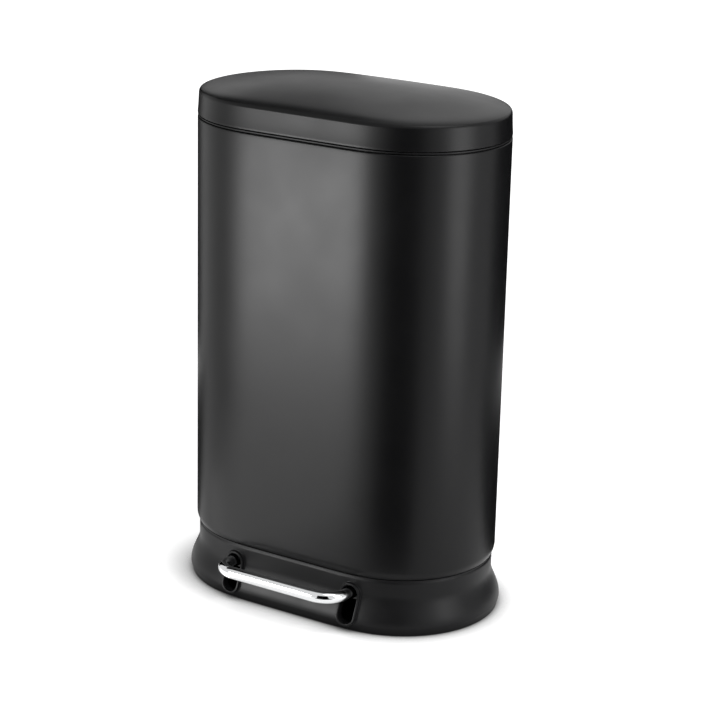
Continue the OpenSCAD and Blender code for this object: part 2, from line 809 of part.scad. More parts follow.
module rod_hook() color(black_plastic) place() {
    gap = lift_pin_r + lift_play;
    difference() {
        union() {
            block(-hook_w / 2, hook_w / 2, rod_y - rod_r - hook_wall, throat_y, hook_low, lid_pin_z + gap + prong_t);
            for (z = [lid_pin_z - gap - prong_t, lid_pin_z + gap])
                block(-hook_w / 2, hook_w / 2, throat_y, prong_y, z, z + prong_t);
        }
        z_cylinder(rod_r + slip, 0, rod_y, hook_low - 1, hook_bore);
    }
}

module rod_foot() color(black_plastic) place() {
    gap = lift_pin_r + lift_play;
    run = rear_arm * (1 - cos(tilt)) / 2 + seat;
    difference() {
        block(-hook_w / 2, hook_w / 2, rod_y - 9, rod_y + 9, lever_pin_z - gap - prong_t, foot_top);
        yz_plate(-hook_w, hook_w) {
            for (s = [-1, 1])
                translate([rod_y + s * run, lever_pin_z]) circle(gap);
            translate([rod_y - run, lever_pin_z - gap]) square([2 * run, 2 * gap]);
        }
        z_cylinder(rod_r + slip, 0, rod_y, foot_bore, foot_top + 1);
    }
}

module rod_guide_lower() color(white_nylon) place() difference() {
    block(-guide_w / 2, guide_w / 2, rod_y - guide_w / 2, rod_y + guide_w / 2, deck_z, deck_z + guide_h);
    z_cylinder(rod_r + run_fit, 0, rod_y, deck_z - 1, deck_z + guide_h + 1);
}

module rod_guide_upper() color(zinc_steel) place() difference() {
    union() {
        block(-guide_w / 2, guide_w / 2, rod_y - guide_w / 2, wall_y, upper_guide_z, upper_guide_z + guide_h);
        block(-guide_w, guide_w, wall_y - bracket_plate, wall_y, upper_guide_z - 6, upper_guide_z + guide_h + 6);
    }
    z_cylinder(rod_r + run_fit, 0, rod_y, upper_guide_z - 1, upper_guide_z + guide_h + 1);
}

module spring_collar() color(zinc_steel) place() difference() {
    z_cylinder(collar_r, 0, rod_y, spring_top - spring_l - collar_h, spring_top - spring_l);
    z_cylinder(rod_r + slip, 0, rod_y, spring_top - spring_l - collar_h - 1, spring_top - spring_l + 1);
}

// A coil of round wire, swept along a helix ring by ring
module coil(r, wire_r, turns, z0, z1) {
    sides = 8;
    rings = turns * 16;
    points = [
        for (i = [0:rings], k = [0:sides - 1])
            let (a = 360 * turns * i / rings, b = 360 * k / sides, reach = r + wire_r * cos(b))
                [reach * cos(a), reach * sin(a), z0 + (z1 - z0) * i / rings + wire_r * sin(b)]
    ];
    walls = [
        for (i = [0:rings - 1], k = [0:sides - 1])
            let (n = (k + 1) % sides)
                [i * sides + k, (i + 1) * sides + k, (i + 1) * sides + n, i * sides + n]
    ];
    ends = [[for (k = [0:sides - 1]) k], [for (k = [sides - 1:-1:0]) rings * sides + k]];
    polyhedron(points, concat(walls, ends));
}

module return_spring() color(zinc_steel) place() translate([0, rod_y, 0]) {
    wire_r = spring_wire / 2;
    coil(rod_r + wire_r + 0.8, wire_r, spring_turns, spring_top - spring_l + wire_r + seat, spring_top - wire_r - seat);
}

// ---------- Damper ----------

module damper_cylinder() color(grey_plastic) place() difference() {
    z_cylinder(damper_r, damper_x, rod_y, damper_z, damper_z + damper_l);
    z_cylinder(damper_r - damper_wall, damper_x, rod_y, damper_z + damper_cap, damper_z + damper_l - damper_cap);
    z_cylinder(plunger_r + run_fit, damper_x, rod_y, damper_z - 1, damper_z + damper_cap + 1);
}

module damper_plunger() color(zinc_steel) place() {
    piston_z = damper_z + damper_cap + 6;
    z_cylinder(plunger_r, damper_x, rod_y, clip_z + 1 + slip, piston_z + 1);
    z_cylinder(damper_r - damper_wall - run_fit, damper_x, rod_y, piston_z, piston_z + 6);
}

module damper_clip() color(black_plastic) place() difference() {
    block(-rod_r - 4, damper_x + plunger_r + 3, rod_y - 5, rod_y + 5, clip_z, clip_z + clip_h);
    z_cylinder(rod_r + slip, 0, rod_y, clip_z - 1, clip_z + clip_h + 1);
    z_cylinder(plunger_r + slip, damper_x, rod_y, clip_z + 1, clip_z + clip_h + 1);
}

module damper_bracket() color(zinc_steel) place() difference() {
    zs = [damper_z + ring_inset, damper_z + damper_l - ring_inset - ring_h];
    plate_end = 4;
    half_w = 7;
    union() {
        block(
            damper_x - half_w, damper_x + half_w, wall_y - bracket_plate, wall_y,
            zs[0] - plate_end, zs[1] + ring_h + plate_end
        );
        for (z = zs) {
            z_cylinder(damper_r + ring_wall, damper_x, rod_y, z, z + ring_h);
            block(damper_x - ring_wall, damper_x + ring_wall, rod_y + damper_r, wall_y - 1, z, z + ring_h);
        }
    }
    z_cylinder(damper_r + slip, damper_x, rod_y, damper_z, damper_z + damper_l);
}

module channel_cover() color(grey_plastic) place() difference() {
    block(-channel_x, channel_x, channel_y, wall_y, deck_z, channel_top);
    block(-channel_x + channel_t, channel_x - channel_t, channel_y + channel_t, wall_y + 1, deck_z - 1, channel_top + 1);
    block(-channel_x - 1, channel_x + 1, shell_r - spigot_in - seat, wall_y + 1, deck_z - 1, foot_clear_z);
}

// ---------- Bucket ----------

bucket_floor = 2.5;
lug_y = handle_y + handle_r + 1;

module bucket_outline(inset) stadium(bucket_w - 2 * inset, bucket_d - 2 * inset);

module inner_bucket() color(grey_plastic) place() translate([0, bucket_y, 0]) {
    difference() {
        union() {
            translate([0, 0, bucket_low]) linear_extrude(bucket_top - bucket_low) bucket_outline(bucket_rim);
            translate([0, 0, bucket_top - 2.5]) linear_extrude(2.5) bucket_outline(0);
        }
        translate([0, 0, bucket_low + bucket_floor]) linear_extrude(bucket_top) bucket_outline(bucket_rim + bucket_t);
    }
    difference() {
        intersection() {
            for (sx = [0, 1], sy = [0, 1])
                mirror([sx, 0, 0]) mirror([0, sy, 0])
                    block(handle_x - lug_r, bucket_w / 2, lug_y, lug_y + lug_t, handle_z - lug_r, handle_z + lug_r);
            translate([0, 0, bucket_low]) linear_extrude(shell_h) bucket_outline(bucket_rim + bucket_t / 2);
        }
        both_sides() y_cylinder(handle_r + run_fit, handle_x, -bucket_d / 2, bucket_d / 2, handle_z);
    }
}

// A wire handle that hangs inside the bucket's end wall
module bucket_handle() translate([handle_x, bucket_y, handle_z]) {
    bar_low = -handle_l + handle_bend;
    for (m = [0, 1])
        mirror([0, m, 0]) {
            y_cylinder(handle_r, 0, handle_y, lug_y + lug_t + 1, 0);
            translate([0, handle_y, 0]) sphere(handle_r);
            z_cylinder(handle_r, 0, handle_y, bar_low, 0);
            translate([0, handle_y - handle_bend, bar_low]) rotate([-90, 0, 90])
                bend(handle_bend, handle_r);
        }
    y_cylinder(handle_r, 0, -handle_y + handle_bend, handle_y - handle_bend, -handle_l);
}

module bucket_handle_left() color(zinc_steel) place() mirror([1, 0, 0]) bucket_handle();

module bucket_handle_right() color(zinc_steel) place() bucket_handle();

base_skirt();
bottom_plate();
deck();
rubber_feet();
deck_screws();
shell();
rim_ring();
hinge_backplate();
hinge_housing();
hinge_screws();
hinge_nuts();
hinge_pin();
hinge_bushes();
hinge_cover();
lid_shell();
lid_liner();
lid_bumpers();
lid_bracket();
lid_rivets();
lid_lift_pin();
foot_bar();
pedal_lever();
lever_axle();
axle_clips();
axle_brackets();
bracket_screws();
lever_lift_pin();
lever_stops();
lift_rod();
rod_hook();
rod_foot();
rod_guide_lower();
rod_guide_upper();
spring_collar();
return_spring();
damper_cylinder();
damper_plunger();
damper_clip();
damper_bracket();
channel_cover();
inner_bucket();
bucket_handle_left();
bucket_handle_right();
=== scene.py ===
"""Slim pedal bin: detailed pieces, finishes and a plain studio over the fixed CAD frame.

Lengths are in metres. X runs across the front, the front faces -Y and the feet stand on Z = 0.
"""
import json
import math

import bpy
import numpy as np
from bpy.props import FloatProperty, FloatVectorProperty, IntProperty, PointerProperty
from mathutils import Matrix, Vector


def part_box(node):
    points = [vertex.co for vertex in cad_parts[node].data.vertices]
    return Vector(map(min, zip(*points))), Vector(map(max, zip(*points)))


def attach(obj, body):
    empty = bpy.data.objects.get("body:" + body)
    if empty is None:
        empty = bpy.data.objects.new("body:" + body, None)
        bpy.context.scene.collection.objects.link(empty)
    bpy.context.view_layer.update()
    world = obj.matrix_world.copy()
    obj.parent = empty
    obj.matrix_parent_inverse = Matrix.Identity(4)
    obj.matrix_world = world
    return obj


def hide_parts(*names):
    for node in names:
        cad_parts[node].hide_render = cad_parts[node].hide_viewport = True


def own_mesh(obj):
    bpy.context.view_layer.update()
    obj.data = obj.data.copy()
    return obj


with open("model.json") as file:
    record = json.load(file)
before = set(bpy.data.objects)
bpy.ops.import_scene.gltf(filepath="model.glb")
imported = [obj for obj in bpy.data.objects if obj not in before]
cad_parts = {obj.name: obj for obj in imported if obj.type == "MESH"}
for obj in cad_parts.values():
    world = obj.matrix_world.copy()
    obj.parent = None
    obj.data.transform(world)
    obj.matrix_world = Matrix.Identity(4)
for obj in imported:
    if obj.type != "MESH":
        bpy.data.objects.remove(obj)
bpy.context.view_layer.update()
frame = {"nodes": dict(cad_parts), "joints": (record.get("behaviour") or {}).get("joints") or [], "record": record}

bl_info = {
    "name": "Pedal bin",
    "version": (1, 0, 0),
    "blender": (4, 5, 0),
    "location": "View3D > Sidebar > Pedal bin",
    "description": "Builds the finished pieces of a slim pedal bin on its CAD frame, and a studio round it",
    "category": "Object",
}

MM = 0.001
# Points closer than this are one
WELD = 0.01 * MM
# Edges that turn by more than this stay sharp
SHARP = math.radians(40)


# ---------- Places taken from the frame ----------

def mid_y(node):
    """Middle of a node's box along Y."""
    low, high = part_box(node)
    return (low.y + high.y) / 2


def joint(name):
    """A joint of the record, by its name."""
    return next(j for j in frame["joints"] if j["name"] == name)


SHELL_LOW, SHELL_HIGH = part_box("shell")
LID_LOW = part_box("lid_shell")[0]
BASE_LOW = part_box("base_skirt")[0]
BAR_LOW, BAR_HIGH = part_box("foot_bar")
SHELL_R = (SHELL_HIGH.y - SHELL_LOW.y) / 2
END_X = SHELL_HIGH.x - SHELL_R
MID_Y = mid_y("shell")
SEAM_Z = SHELL_LOW.z
SHELL_TOP = SHELL_HIGH.z
WINDOW_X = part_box("hinge_bushes")[1].x
HINGE = Vector(joint("lid_hinge")["pos_m"])
PEDAL = Vector(joint("pedal_pivot")["pos_m"])


# ---------- Colour and nodes ----------

def linear(hex_colour):
    """Linear RGB of an sRGB colour written as #rrggbb."""
    parts = [int(hex_colour[i:i + 2], 16) / 255 for i in (1, 3, 5)]
    return tuple(c / 12.92 if c <= 0.04045 else ((c + 0.055) / 1.055) ** 2.4 for c in parts)


def add_node(tree, kind, inputs=None, **settings):
    """Adds a node with its own fields set. Each input is a value or the socket that feeds it."""
    node = tree.nodes.new(kind)
    for name, value in settings.items():
        setattr(node, name, value)
    for name, value in (inputs or {}).items():
        if isinstance(value, bpy.types.NodeSocket):
            tree.links.new(value, node.inputs[name])
        else:
            node.inputs[name].default_value = value
    return node


def new_material(name):
    """An empty node material, its tree and the object coordinates that every pattern reads."""
    material = bpy.data.materials.new(name)
    material.use_nodes = True
    tree = material.node_tree
    tree.nodes.clear()
    return material, tree, add_node(tree, "ShaderNodeTexCoord").outputs["Object"]


def per_period(length):
    """Noise scale at which one wave is as long as the given length."""
    return 1 / length


def finish_surface(tree, shader):
    """Ends the tree at its output."""
    add_node(tree, "ShaderNodeOutputMaterial", {"Surface": shader})


def placed(name, data):
    """A new object in the scene, at the origin."""
    thing = bpy.data.objects.new(name, data)
    bpy.context.scene.collection.objects.link(thing)
    return thing


# ---------- Mesh maths ----------

NO_TRIANGLES = np.zeros((0, 3), int)


def grid_quads(rows, columns):
    """Quads of a rows x columns grid counted row by row, whose last column joins the first."""
    start = np.arange(rows - 1)[:, None] * columns
    here = np.arange(columns)[None, :]
    after = (here + 1) % columns
    corners = [start + here, start + after, start + columns + after, start + columns + here]
    return np.stack(corners, axis=-1).reshape(-1, 4)


def grid(rows):
    """The points and the quads of rows of points."""
    return rows.reshape(-1, 3), grid_quads(*rows.shape[:2])


def weld(points, quads):
    """Joins points that round to one place, and turns quads that lose a side into triangles."""
    keys = np.round(points / WELD).astype(np.int64)
    _, first, where = np.unique(keys, axis=0, return_index=True, return_inverse=True)
    quads = where.reshape(-1)[quads]
    same = quads == np.roll(quads, -1, axis=1)
    lost = same.sum(axis=1)
    triangles = quads[lost == 1][~same[lost == 1]].reshape(-1, 3)
    return points[first], quads[lost == 0], triangles


def point_normals(points, quads, triangles):
    """Unit normal at each point: the sum over its faces of the cross product of two diagonals or sides."""
    total = np.zeros_like(points)
    for faces, (a, b, c, d) in ((quads, (0, 2, 1, 3)), (triangles, (0, 1, 0, 2))):
        at = points[faces]
        area = np.cross(at[:, b] - at[:, a], at[:, d] - at[:, c])
        for k in range(faces.shape[1]):
            np.add.at(total, faces[:, k], area)
    length = np.linalg.norm(total, axis=1, keepdims=True)
    return total / np.maximum(length, 1e-12)


def open_edges(quads, triangles):
    """Directed edges that only one face uses."""
    edges = np.concatenate(
        [np.stack([f, np.roll(f, -1, axis=1)], axis=-1).reshape(-1, 2) for f in (quads, triangles) if len(f)]
    )
    _, where, count = np.unique(np.sort(edges, axis=1), axis=0, return_inverse=True, return_counts=True)
    return edges[count[where.reshape(-1)] == 1]


def double_skin(outer, inner, quads, triangles):
    """Closes a sheet: the outer faces, the inner faces turned round, and a strip along each open edge."""
    n = len(outer)
    rim = open_edges(quads, triangles)
    strip = np.stack([rim[:, 1], rim[:, 0], rim[:, 0] + n, rim[:, 1] + n], axis=-1)
    all_quads = np.concatenate([quads, quads[:, ::-1] + n, strip])
    all_triangles = np.concatenate([triangles, triangles[:, ::-1] + n])
    return np.concatenate([outer, inner]), all_quads, all_triangles


def sheet(points, quads, thickness):
    """A welded sheet given its thickness inward along the point normals."""
    points, quads, triangles = weld(points, quads)
    inner = points - thickness * point_normals(points, quads, triangles)
    return double_skin(points, inner, quads, triangles)


def eased_outline(ease, count):
    """A quarter of the body's outline, from the front's middle to the right end, as x and distance from the
    long axis.

    It is a straight line and an arc whose curvature ramps up over twice the ease where they meet. The angle
    turned after a length t past the ramp's start is t^2 / (4 x ease x radius), and then (t - ease) / radius.
    """
    length = END_X + SHELL_R * math.pi / 2
    t = np.clip(np.linspace(0, length, count) - END_X + ease, 0, None)
    turned = np.where(t < 2 * ease, t ** 2 / (4 * ease), t - ease) / SHELL_R
    x, y = np.cumsum(np.cos(turned)), np.cumsum(np.sin(turned))
    return x / x[-1] * (END_X + SHELL_R), SHELL_R * (1 - y / y[-1])


OUTLINE = eased_outline(ease=32 * MM, count=4001)


def half_depth(x, radius=SHELL_R):
    """Distance from the long axis to the outline that is drawn out to a radius, at x."""
    past = np.maximum(np.abs(x) - END_X, 0)
    return np.interp(np.minimum(np.abs(x), END_X) + past * SHELL_R / radius, *OUTLINE) * radius / SHELL_R


def stations(s, extra=(), finer=1):
    """Stations round the body, counter-clockwise from the back's left end.

    Each is a centre on the long axis and a spoke, so that a point lies at centre + radius x spoke.
    """
    steps = s.straight_count * finer + 1
    xs = np.unique(np.concatenate([np.linspace(-END_X, END_X, steps), np.asarray(extra, float)]))
    turn = np.linspace(-math.pi / 2, math.pi / 2, s.end_count + 1)[1:-1]
    out = END_X + SHELL_R * np.cos(turn)
    end = np.stack([(out - END_X) / SHELL_R, np.sign(turn) * half_depth(out) / SHELL_R], axis=-1)
    side = np.stack([np.zeros(xs.size), half_depth(xs) / SHELL_R], axis=-1)
    centres = np.concatenate([np.full(turn.size, -END_X), xs, np.full(turn.size, END_X), xs[::-1]])
    return centres, np.concatenate([-end, side * (1, -1), end, side[::-1]])


def swept(centres, spokes, radii, heights):
    """Rows of points: each pair of radius and height carried round the stations."""
    radii = np.asarray(radii, float)[:, None]
    x = centres + radii * spokes[:, 0]
    y = MID_Y + radii * spokes[:, 1]
    z = np.broadcast_to(np.asarray(heights, float)[:, None], x.shape)
    return np.stack([x, y, z], axis=-1)


def arc(cx, cz, radius, start, end, count):
    """Points on an arc in a profile, from one angle to another in degrees, as radii and heights."""
    a = np.radians(np.linspace(start, end, count))
    return cx + radius * np.cos(a), cz + radius * np.sin(a)


def profile(*parts):
    """Joins pieces of a profile, each a pair of radii and heights."""
    return [np.concatenate([np.atleast_1d(part[k]) for part in parts]) for k in (0, 1)]


def smooth(t):
    """Smoothstep from 0 to 1: 3 t^2 - 2 t^3."""
    t = np.clip(t, 0, 1)
    return t * t * (3 - 2 * t)


def joined(*meshes):
    """Several meshes as one."""
    points, quads, triangles = zip(*meshes)
    starts = np.cumsum([0] + [len(p) for p in points])
    all_quads, all_triangles = [
        np.concatenate([f + n for f, n in zip(faces, starts)]) for faces in (quads, triangles)
    ]
    return np.concatenate(points), all_quads, all_triangles


def tube(path, sideways, radius, sides):
    """A round rod along a path, each end closed on its middle point.

    Each ring is radius x (cos a x sideways + sin a x tangent x sideways), where sideways is the normal of the
    path's plane or a direction at each point.
    """
    tangent = np.gradient(path, axis=0)
    tangent /= np.linalg.norm(tangent, axis=1, keepdims=True)
    sideways = np.broadcast_to(sideways, path.shape)
    across = np.cross(tangent, sideways)
    a = np.linspace(0, 2 * math.pi, sides, endpoint=False)[:, None]
    rings = path[:, None] + radius * (np.cos(a) * sideways[:, None] + np.sin(a) * across[:, None])
    n = len(path) * sides
    last = n - sides
    k = np.arange(sides)
    m = (k + 1) % sides
    start_fan = np.stack([m, k, np.full(sides, n)], axis=-1)
    end_fan = np.stack([last + k, last + m, np.full(sides, n + 1)], axis=-1)
    points = np.concatenate([rings.reshape(-1, 3), path[:1], path[-1:]])
    return points, grid_quads(len(path), sides), np.concatenate([start_fan, end_fan])


def make_piece(name, mesh, slot, body, node):
    """A smooth piece in a slot's finish, which rides on a body and stands for a CAD node."""
    points, quads, triangles = mesh
    data = bpy.data.meshes.new(name)
    data.from_pydata(points.tolist(), [], quads.tolist() + triangles.tolist())
    data.update()
    data.shade_smooth()
    data.set_sharp_from_angle(angle=SHARP)
    data.materials.append(finish(slot))
    piece = placed(name, data)
    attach(piece, body)
    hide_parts(node)
    return piece


# ---------- Finishes ----------

# Most of a noise's values lie between these
NOISE_SPAN = {"From Min": 0.3, "From Max": 0.7}
FINE_SPAN = {"From Min": 0.35, "From Max": 0.65}


def mottled(tree, colour, pattern, low, high, span=NOISE_SPAN):
    """A colour that a pattern dims to low and lightens to high times its own value."""
    level = add_node(tree, "ShaderNodeMapRange", {"Value": pattern, **span, "To Min": low, "To Max": high})
    inputs = {0: tuple(colour), "Scale": level.outputs["Result"]}
    return add_node(tree, "ShaderNodeVectorMath", inputs, operation="SCALE").outputs["Vector"]


def powder_coat(name, colour):
    """Polyester powder baked on sheet steel: a satin skin whose faint orange peel softens reflections."""
    material, tree, place = new_material(name)
    # The coat pools a little thicker in places, which the eye reads as slow changes of gloss.
    # Orange peel has waves of about 1.5 mm. Grain of 0.1 mm is drawn at 0.5 mm, as coarse as it needs to show
    pooling, peel, grain = [
        add_node(
            tree, "ShaderNodeTexNoise", {"Vector": place, "Scale": per_period(wave * MM), "Detail": detail}
        ).outputs["Fac"]
        for wave, detail in ((60, 2.0), (1.5, 2.0), (0.5, 1.0))
    ]
    gloss = add_node(tree, "ShaderNodeMapRange", {
        "Value": pooling, **NOISE_SPAN, "To Min": 0.33, "To Max": 0.37
    })
    relief = add_node(tree, "ShaderNodeMath", {0: peel, 1: 0.5, 2: grain}, operation="MULTIPLY_ADD")
    bump = add_node(tree, "ShaderNodeBump", {
        "Height": relief.outputs[0], "Distance": 0.02 * MM, "Strength": 0.5
    })
    shader = add_node(tree, "ShaderNodeBsdfPrincipled", {
        "Base Color": mottled(tree, colour, grain, 0.85, 1.15, FINE_SPAN),
        "Roughness": gloss.outputs["Result"], "IOR": 1.5, "Specular IOR Level": 0.15,
        "Normal": bump.outputs["Normal"],
    })
    finish_surface(tree, shader.outputs["BSDF"])
    return material


def moulded_plastic(name, colour, roughness, specular=0.25):
    """Plastic injection-moulded in a spark-eroded tool: even, finely pitted, with slow drifts of gloss."""
    material, tree, place = new_material(name)
    drift, pits = [
        add_node(
            tree, "ShaderNodeTexNoise", {"Vector": place, "Scale": per_period(wave * MM), "Detail": detail}
        ).outputs["Fac"]
        for wave, detail in ((30, 3.0), (0.7, 2.0))
    ]
    gloss = add_node(tree, "ShaderNodeMapRange", {
        "Value": drift, **NOISE_SPAN, "To Min": roughness - 0.03, "To Max": roughness + 0.03
    })
    bump = add_node(tree, "ShaderNodeBump", {"Height": pits, "Distance": 0.02 * MM, "Strength": 0.4})
    shader = add_node(tree, "ShaderNodeBsdfPrincipled", {
        "Base Color": mottled(tree, colour, drift, 0.93, 1.07), "Roughness": gloss.outputs["Result"],
        "IOR": 1.49, "Specular IOR Level": specular, "Normal": bump.outputs["Normal"],
    })
    finish_surface(tree, shader.outputs["BSDF"])
    return material


def plated_metal(name, colour, low, high, wave):
    """Electroplated steel: the plate follows the metal below, so its gloss drifts in soft patches."""
    material, tree, place = new_material(name)
    patches = add_node(tree, "ShaderNodeTexNoise", {
        "Vector": place, "Scale": per_period(wave * MM), "Detail": 3.0
    }).outputs["Fac"]
    gloss = add_node(tree, "ShaderNodeMapRange", {
        "Value": patches, **NOISE_SPAN, "To Min": low, "To Max": high
    })
    bump = add_node(tree, "ShaderNodeBump", {"Height": patches, "Distance": 0.01 * MM, "Strength": 0.3})
    shader = add_node(tree, "ShaderNodeBsdfPrincipled", {
        "Base Color": (*colour, 1), "Metallic": 1.0, "Roughness": gloss.outputs["Result"],
        "Normal": bump.outputs["Normal"],
    })
    finish_surface(tree, shader.outputs["BSDF"])
    return material


def moulded_rubber(name, colour):
    """Moulded natural rubber: dull, with a dusty bloom that lightens it in patches of about 4 mm."""
    material, tree, place = new_material(name)
    bloom = add_node(tree, "ShaderNodeTexNoise", {
        "Vector": place, "Scale": per_period(4 * MM), "Detail": 4.0
    }).outputs["Fac"]
    bump = add_node(tree, "ShaderNodeBump", {"Height": bloom, "Distance": 0.03 * MM, "Strength": 0.4})
    shader = add_node(tree, "ShaderNodeBsdfPrincipled", {
        "Base Color": mottled(tree, colour, bloom, 0.8, 1.3), "Roughness": 0.75, "IOR": 1.52,
        "Normal": bump.outputs["Normal"],
    })
    finish_surface(tree, shader.outputs["BSDF"])
    return material


FINISHES = {}


def finish(slot):
    """The material of one of the record's slots, made once.

    After its name and colour, a plastic has its roughness and specular level, and a plated metal its lowest
    and highest roughness and the width of its patches in millimetres.
    """
    if slot not in FINISHES:
        colours = bpy.context.scene.bin_colours
        maker, *looks = {
            "black_powder_coat": (powder_coat, "Powder-coated steel", colours.coat),
            "black_plastic": (moulded_plastic, "Moulded black polypropylene", colours.base, 0.4, 0.13),
            "grey_plastic": (moulded_plastic, "Moulded grey polypropylene", colours.bucket, 0.45),
            "rubber": (moulded_rubber, "Moulded rubber", colours.rubber),
            "chrome": (plated_metal, "Chrome-plated steel tube", colours.chrome, 0.05, 0.08, 12),
            "zinc_steel": (plated_metal, "Zinc-plated steel", colours.zinc, 0.28, 0.42, 5),
            "nylon": (moulded_plastic, "Moulded natural nylon", colours.nylon, 0.4),
        }[slot]
        FINISHES[slot] = maker(*looks)
    return FINISHES[slot]


# ---------- Settings ----------

def a_length(name, description, size):
    """A setting for a length, whose default is in millimetres."""
    return FloatProperty(name=name, description=description, unit="LENGTH", default=size * MM)


def an_angle(name, description, size):
    """A setting for an angle, whose default is in degrees."""
    return FloatProperty(name=name, description=description, subtype="ANGLE", default=math.radians(size))


def a_power(name, description, watts):
    """A setting for a lamp's power."""
    return FloatProperty(name=name, description=description, unit="POWER", default=watts)


def a_colour(name, description, shade):
    """A setting for a colour, whose default is an sRGB colour written as #rrggbb."""
    return FloatVectorProperty(
        name=name, description=description, subtype="COLOR", size=3, min=0, max=1, default=linear(shade)
    )


class BinColours(bpy.types.PropertyGroup):
    """Colours of the finishes."""
    coat: a_colour("Powder coat", "Colour of the coat on shell and lid", "#0a0a0b")
    base: a_colour("Black plastic", "Colour of the base and the hinge cover", "#131314")
    bucket: a_colour("Grey plastic", "Colour of the bucket and the lid's liner", "#5a5b5d")
    rubber: a_colour("Rubber", "Colour of feet and stops", "#19191a")
    chrome: a_colour("Chrome", "Reflectance of the chrome plate", "#d4d5d6")
    zinc: a_colour("Zinc", "Reflectance of the zinc plate", "#b4b6b8")
    nylon: a_colour("Nylon", "Colour of bushes and guides", "#dedbd0")


class BinSizes(bpy.types.PropertyGroup):
    """Sizes that the frame's boxes do not give."""
    sheet: a_length("Sheet", "Thickness of the steel", 0.8)
    turn_in: a_length("Turn in", "How far the shell's foot turns in", 3)
    turn_in_h: a_length("Turn-in height", "Height over which the foot turns in", 10)
    hem: a_length("Hem", "Width of the hem at the shell's top", 4)
    neck: a_length("Neck", "How far the base's neck lies inside the shell", 3.3)
    flare: a_length("Flare", "How far the base stands out past the shell", 7.9)
    flare_top: a_length("Flare's start", "Height at which the flare begins", 48)
    flare_low: a_length("Flare's end", "Height of the widest line", 10)
    bevel: a_length("Bevel", "Draw-in of the bottom bevel", 2)
    base_wall: a_length("Base wall", "Wall of the base", 3)
    seam_gap: a_length("Seam gap", "Height of the dark gap under the shell", 1.4)
    seam_depth: a_length("Seam depth", "Depth of the gap under the shell", 2.2)
    seam_band: a_length("Seam band", "Height of the fine step under the seam", 4)
    slot_w: a_length("Slot width", "Width of a pedal slot", 20.5)
    slot_h: a_length("Slot height", "Height of a pedal slot", 46.8)
    slot_z: a_length("Slot foot", "Lower end of a pedal slot", 9.5)
    slot_depth: a_length("Slot depth", "Length of the tube behind a slot", 6)
    collar_w: a_length("Collar wall", "Wall of a slot's collar", 3)
    collar_out: a_length("Collar", "How far a slot's collar stands out", 4.5)
    bar_d: a_length("Bar", "Diameter of the foot bar", 15)
    bend_r: a_length("Bend", "Radius of the foot bar's bends", 28)
    spring_turns: IntProperty(
        name="Turns", description="Turns of the return spring", min=4, max=40, default=11
    )
    end_count: IntProperty(
        name="End segments", description="Segments round each end", min=24, max=200, default=96
    )
    straight_count: IntProperty(
        name="Straight segments", description="Segments along each side", min=8, max=120, default=36
    )


class BinStudio(bpy.types.PropertyGroup):
    """Light, floor and camera."""
    lens: FloatProperty(
        name="Lens", description="Focal length on a 36 mm sensor", unit="CAMERA", default=112.73
    )
    distance: a_length("Distance", "Camera to the bin's axis", 2712.2)
    azimuth: an_angle("Azimuth", "Camera's turn from the front", 32.116)
    elevation: an_angle("Elevation", "Camera's height angle", 17.311)
    roll: an_angle("Roll", "Camera's roll", 1.279)
    nod: an_angle("Nod", "Nod away from the aim", 0.508)
    pan: an_angle("Pan", "Turn away from the axis", -0.11)
    aim: a_length("Aim", "Height aimed at", 330)
    key: a_power("Key", "Power of the large soft box at the left", 17.5)
    strip: a_power("Strip", "Power of the soft box at the right", 6.5)
    top: a_power("Top", "Power of the soft box above", 10.0)
    low: a_power("Low", "Power of the soft box on the floor, seen in the gloss", 1.8)
    lift: FloatProperty(
        name="Lift", description="White added to the floor", subtype="FACTOR", min=0, max=1, default=0.76
    )
    floor: a_colour("Floor", "Colour of the floor", "#e4e4e4")


# ---------- Shell and base ----------

class BIN_OT_shell(bpy.types.Operator):
    """The steel shell: one sheet with a rolled-in foot, a hemmed top and the window for the hinge."""
    bl_idname = "bin.shell"
    bl_label = "Shell"

    def execute(self, context):
        s = context.scene.bin_sizes
        r, top = SHELL_R, SHELL_TOP
        roll = 1.4 * MM
        t = np.linspace(0, 1, 10)
        foot = (r - s.turn_in * (1 - t) ** 2, SEAM_Z + s.turn_in_h * t)
        # The window starts over the backplate's foot and ends over the hinge's axis
        window_low, window_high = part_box("hinge_backplate")[0].z + 6 * MM, HINGE.z + 19 * MM
        wall_z = np.unique(np.concatenate([
            np.linspace(SEAM_Z + s.turn_in_h, top - roll, 60)[1:], [window_low, window_high]
        ]))
        radii, heights = profile(
            foot, (np.full(wall_z.size, r), wall_z), arc(r - roll, top - roll, roll, 12, 90, 6),
            (r - s.hem, top)
        )
        centres, spokes = stations(s, [-WINDOW_X, WINDOW_X])
        points, quads = grid(swept(centres, spokes, radii, heights))
        middle = points[quads].mean(axis=1)
        in_window = (
            (np.abs(middle[:, 0]) < WINDOW_X) & (middle[:, 1] > MID_Y)
            & (middle[:, 2] > window_low) & (middle[:, 2] < window_high)
        )
        mesh = sheet(points, quads[~in_window], s.sheet)
        make_piece("shell_sheet", mesh, "black_powder_coat", "can", "shell")
        return {"FINISHED"}


# Heights over which the gap's and the band's edges turn, and how far the band steps in
GAP_SOFT, BAND_SOFT, BAND_STEP = 0.3 * MM, 0.4 * MM, 0.35 * MM


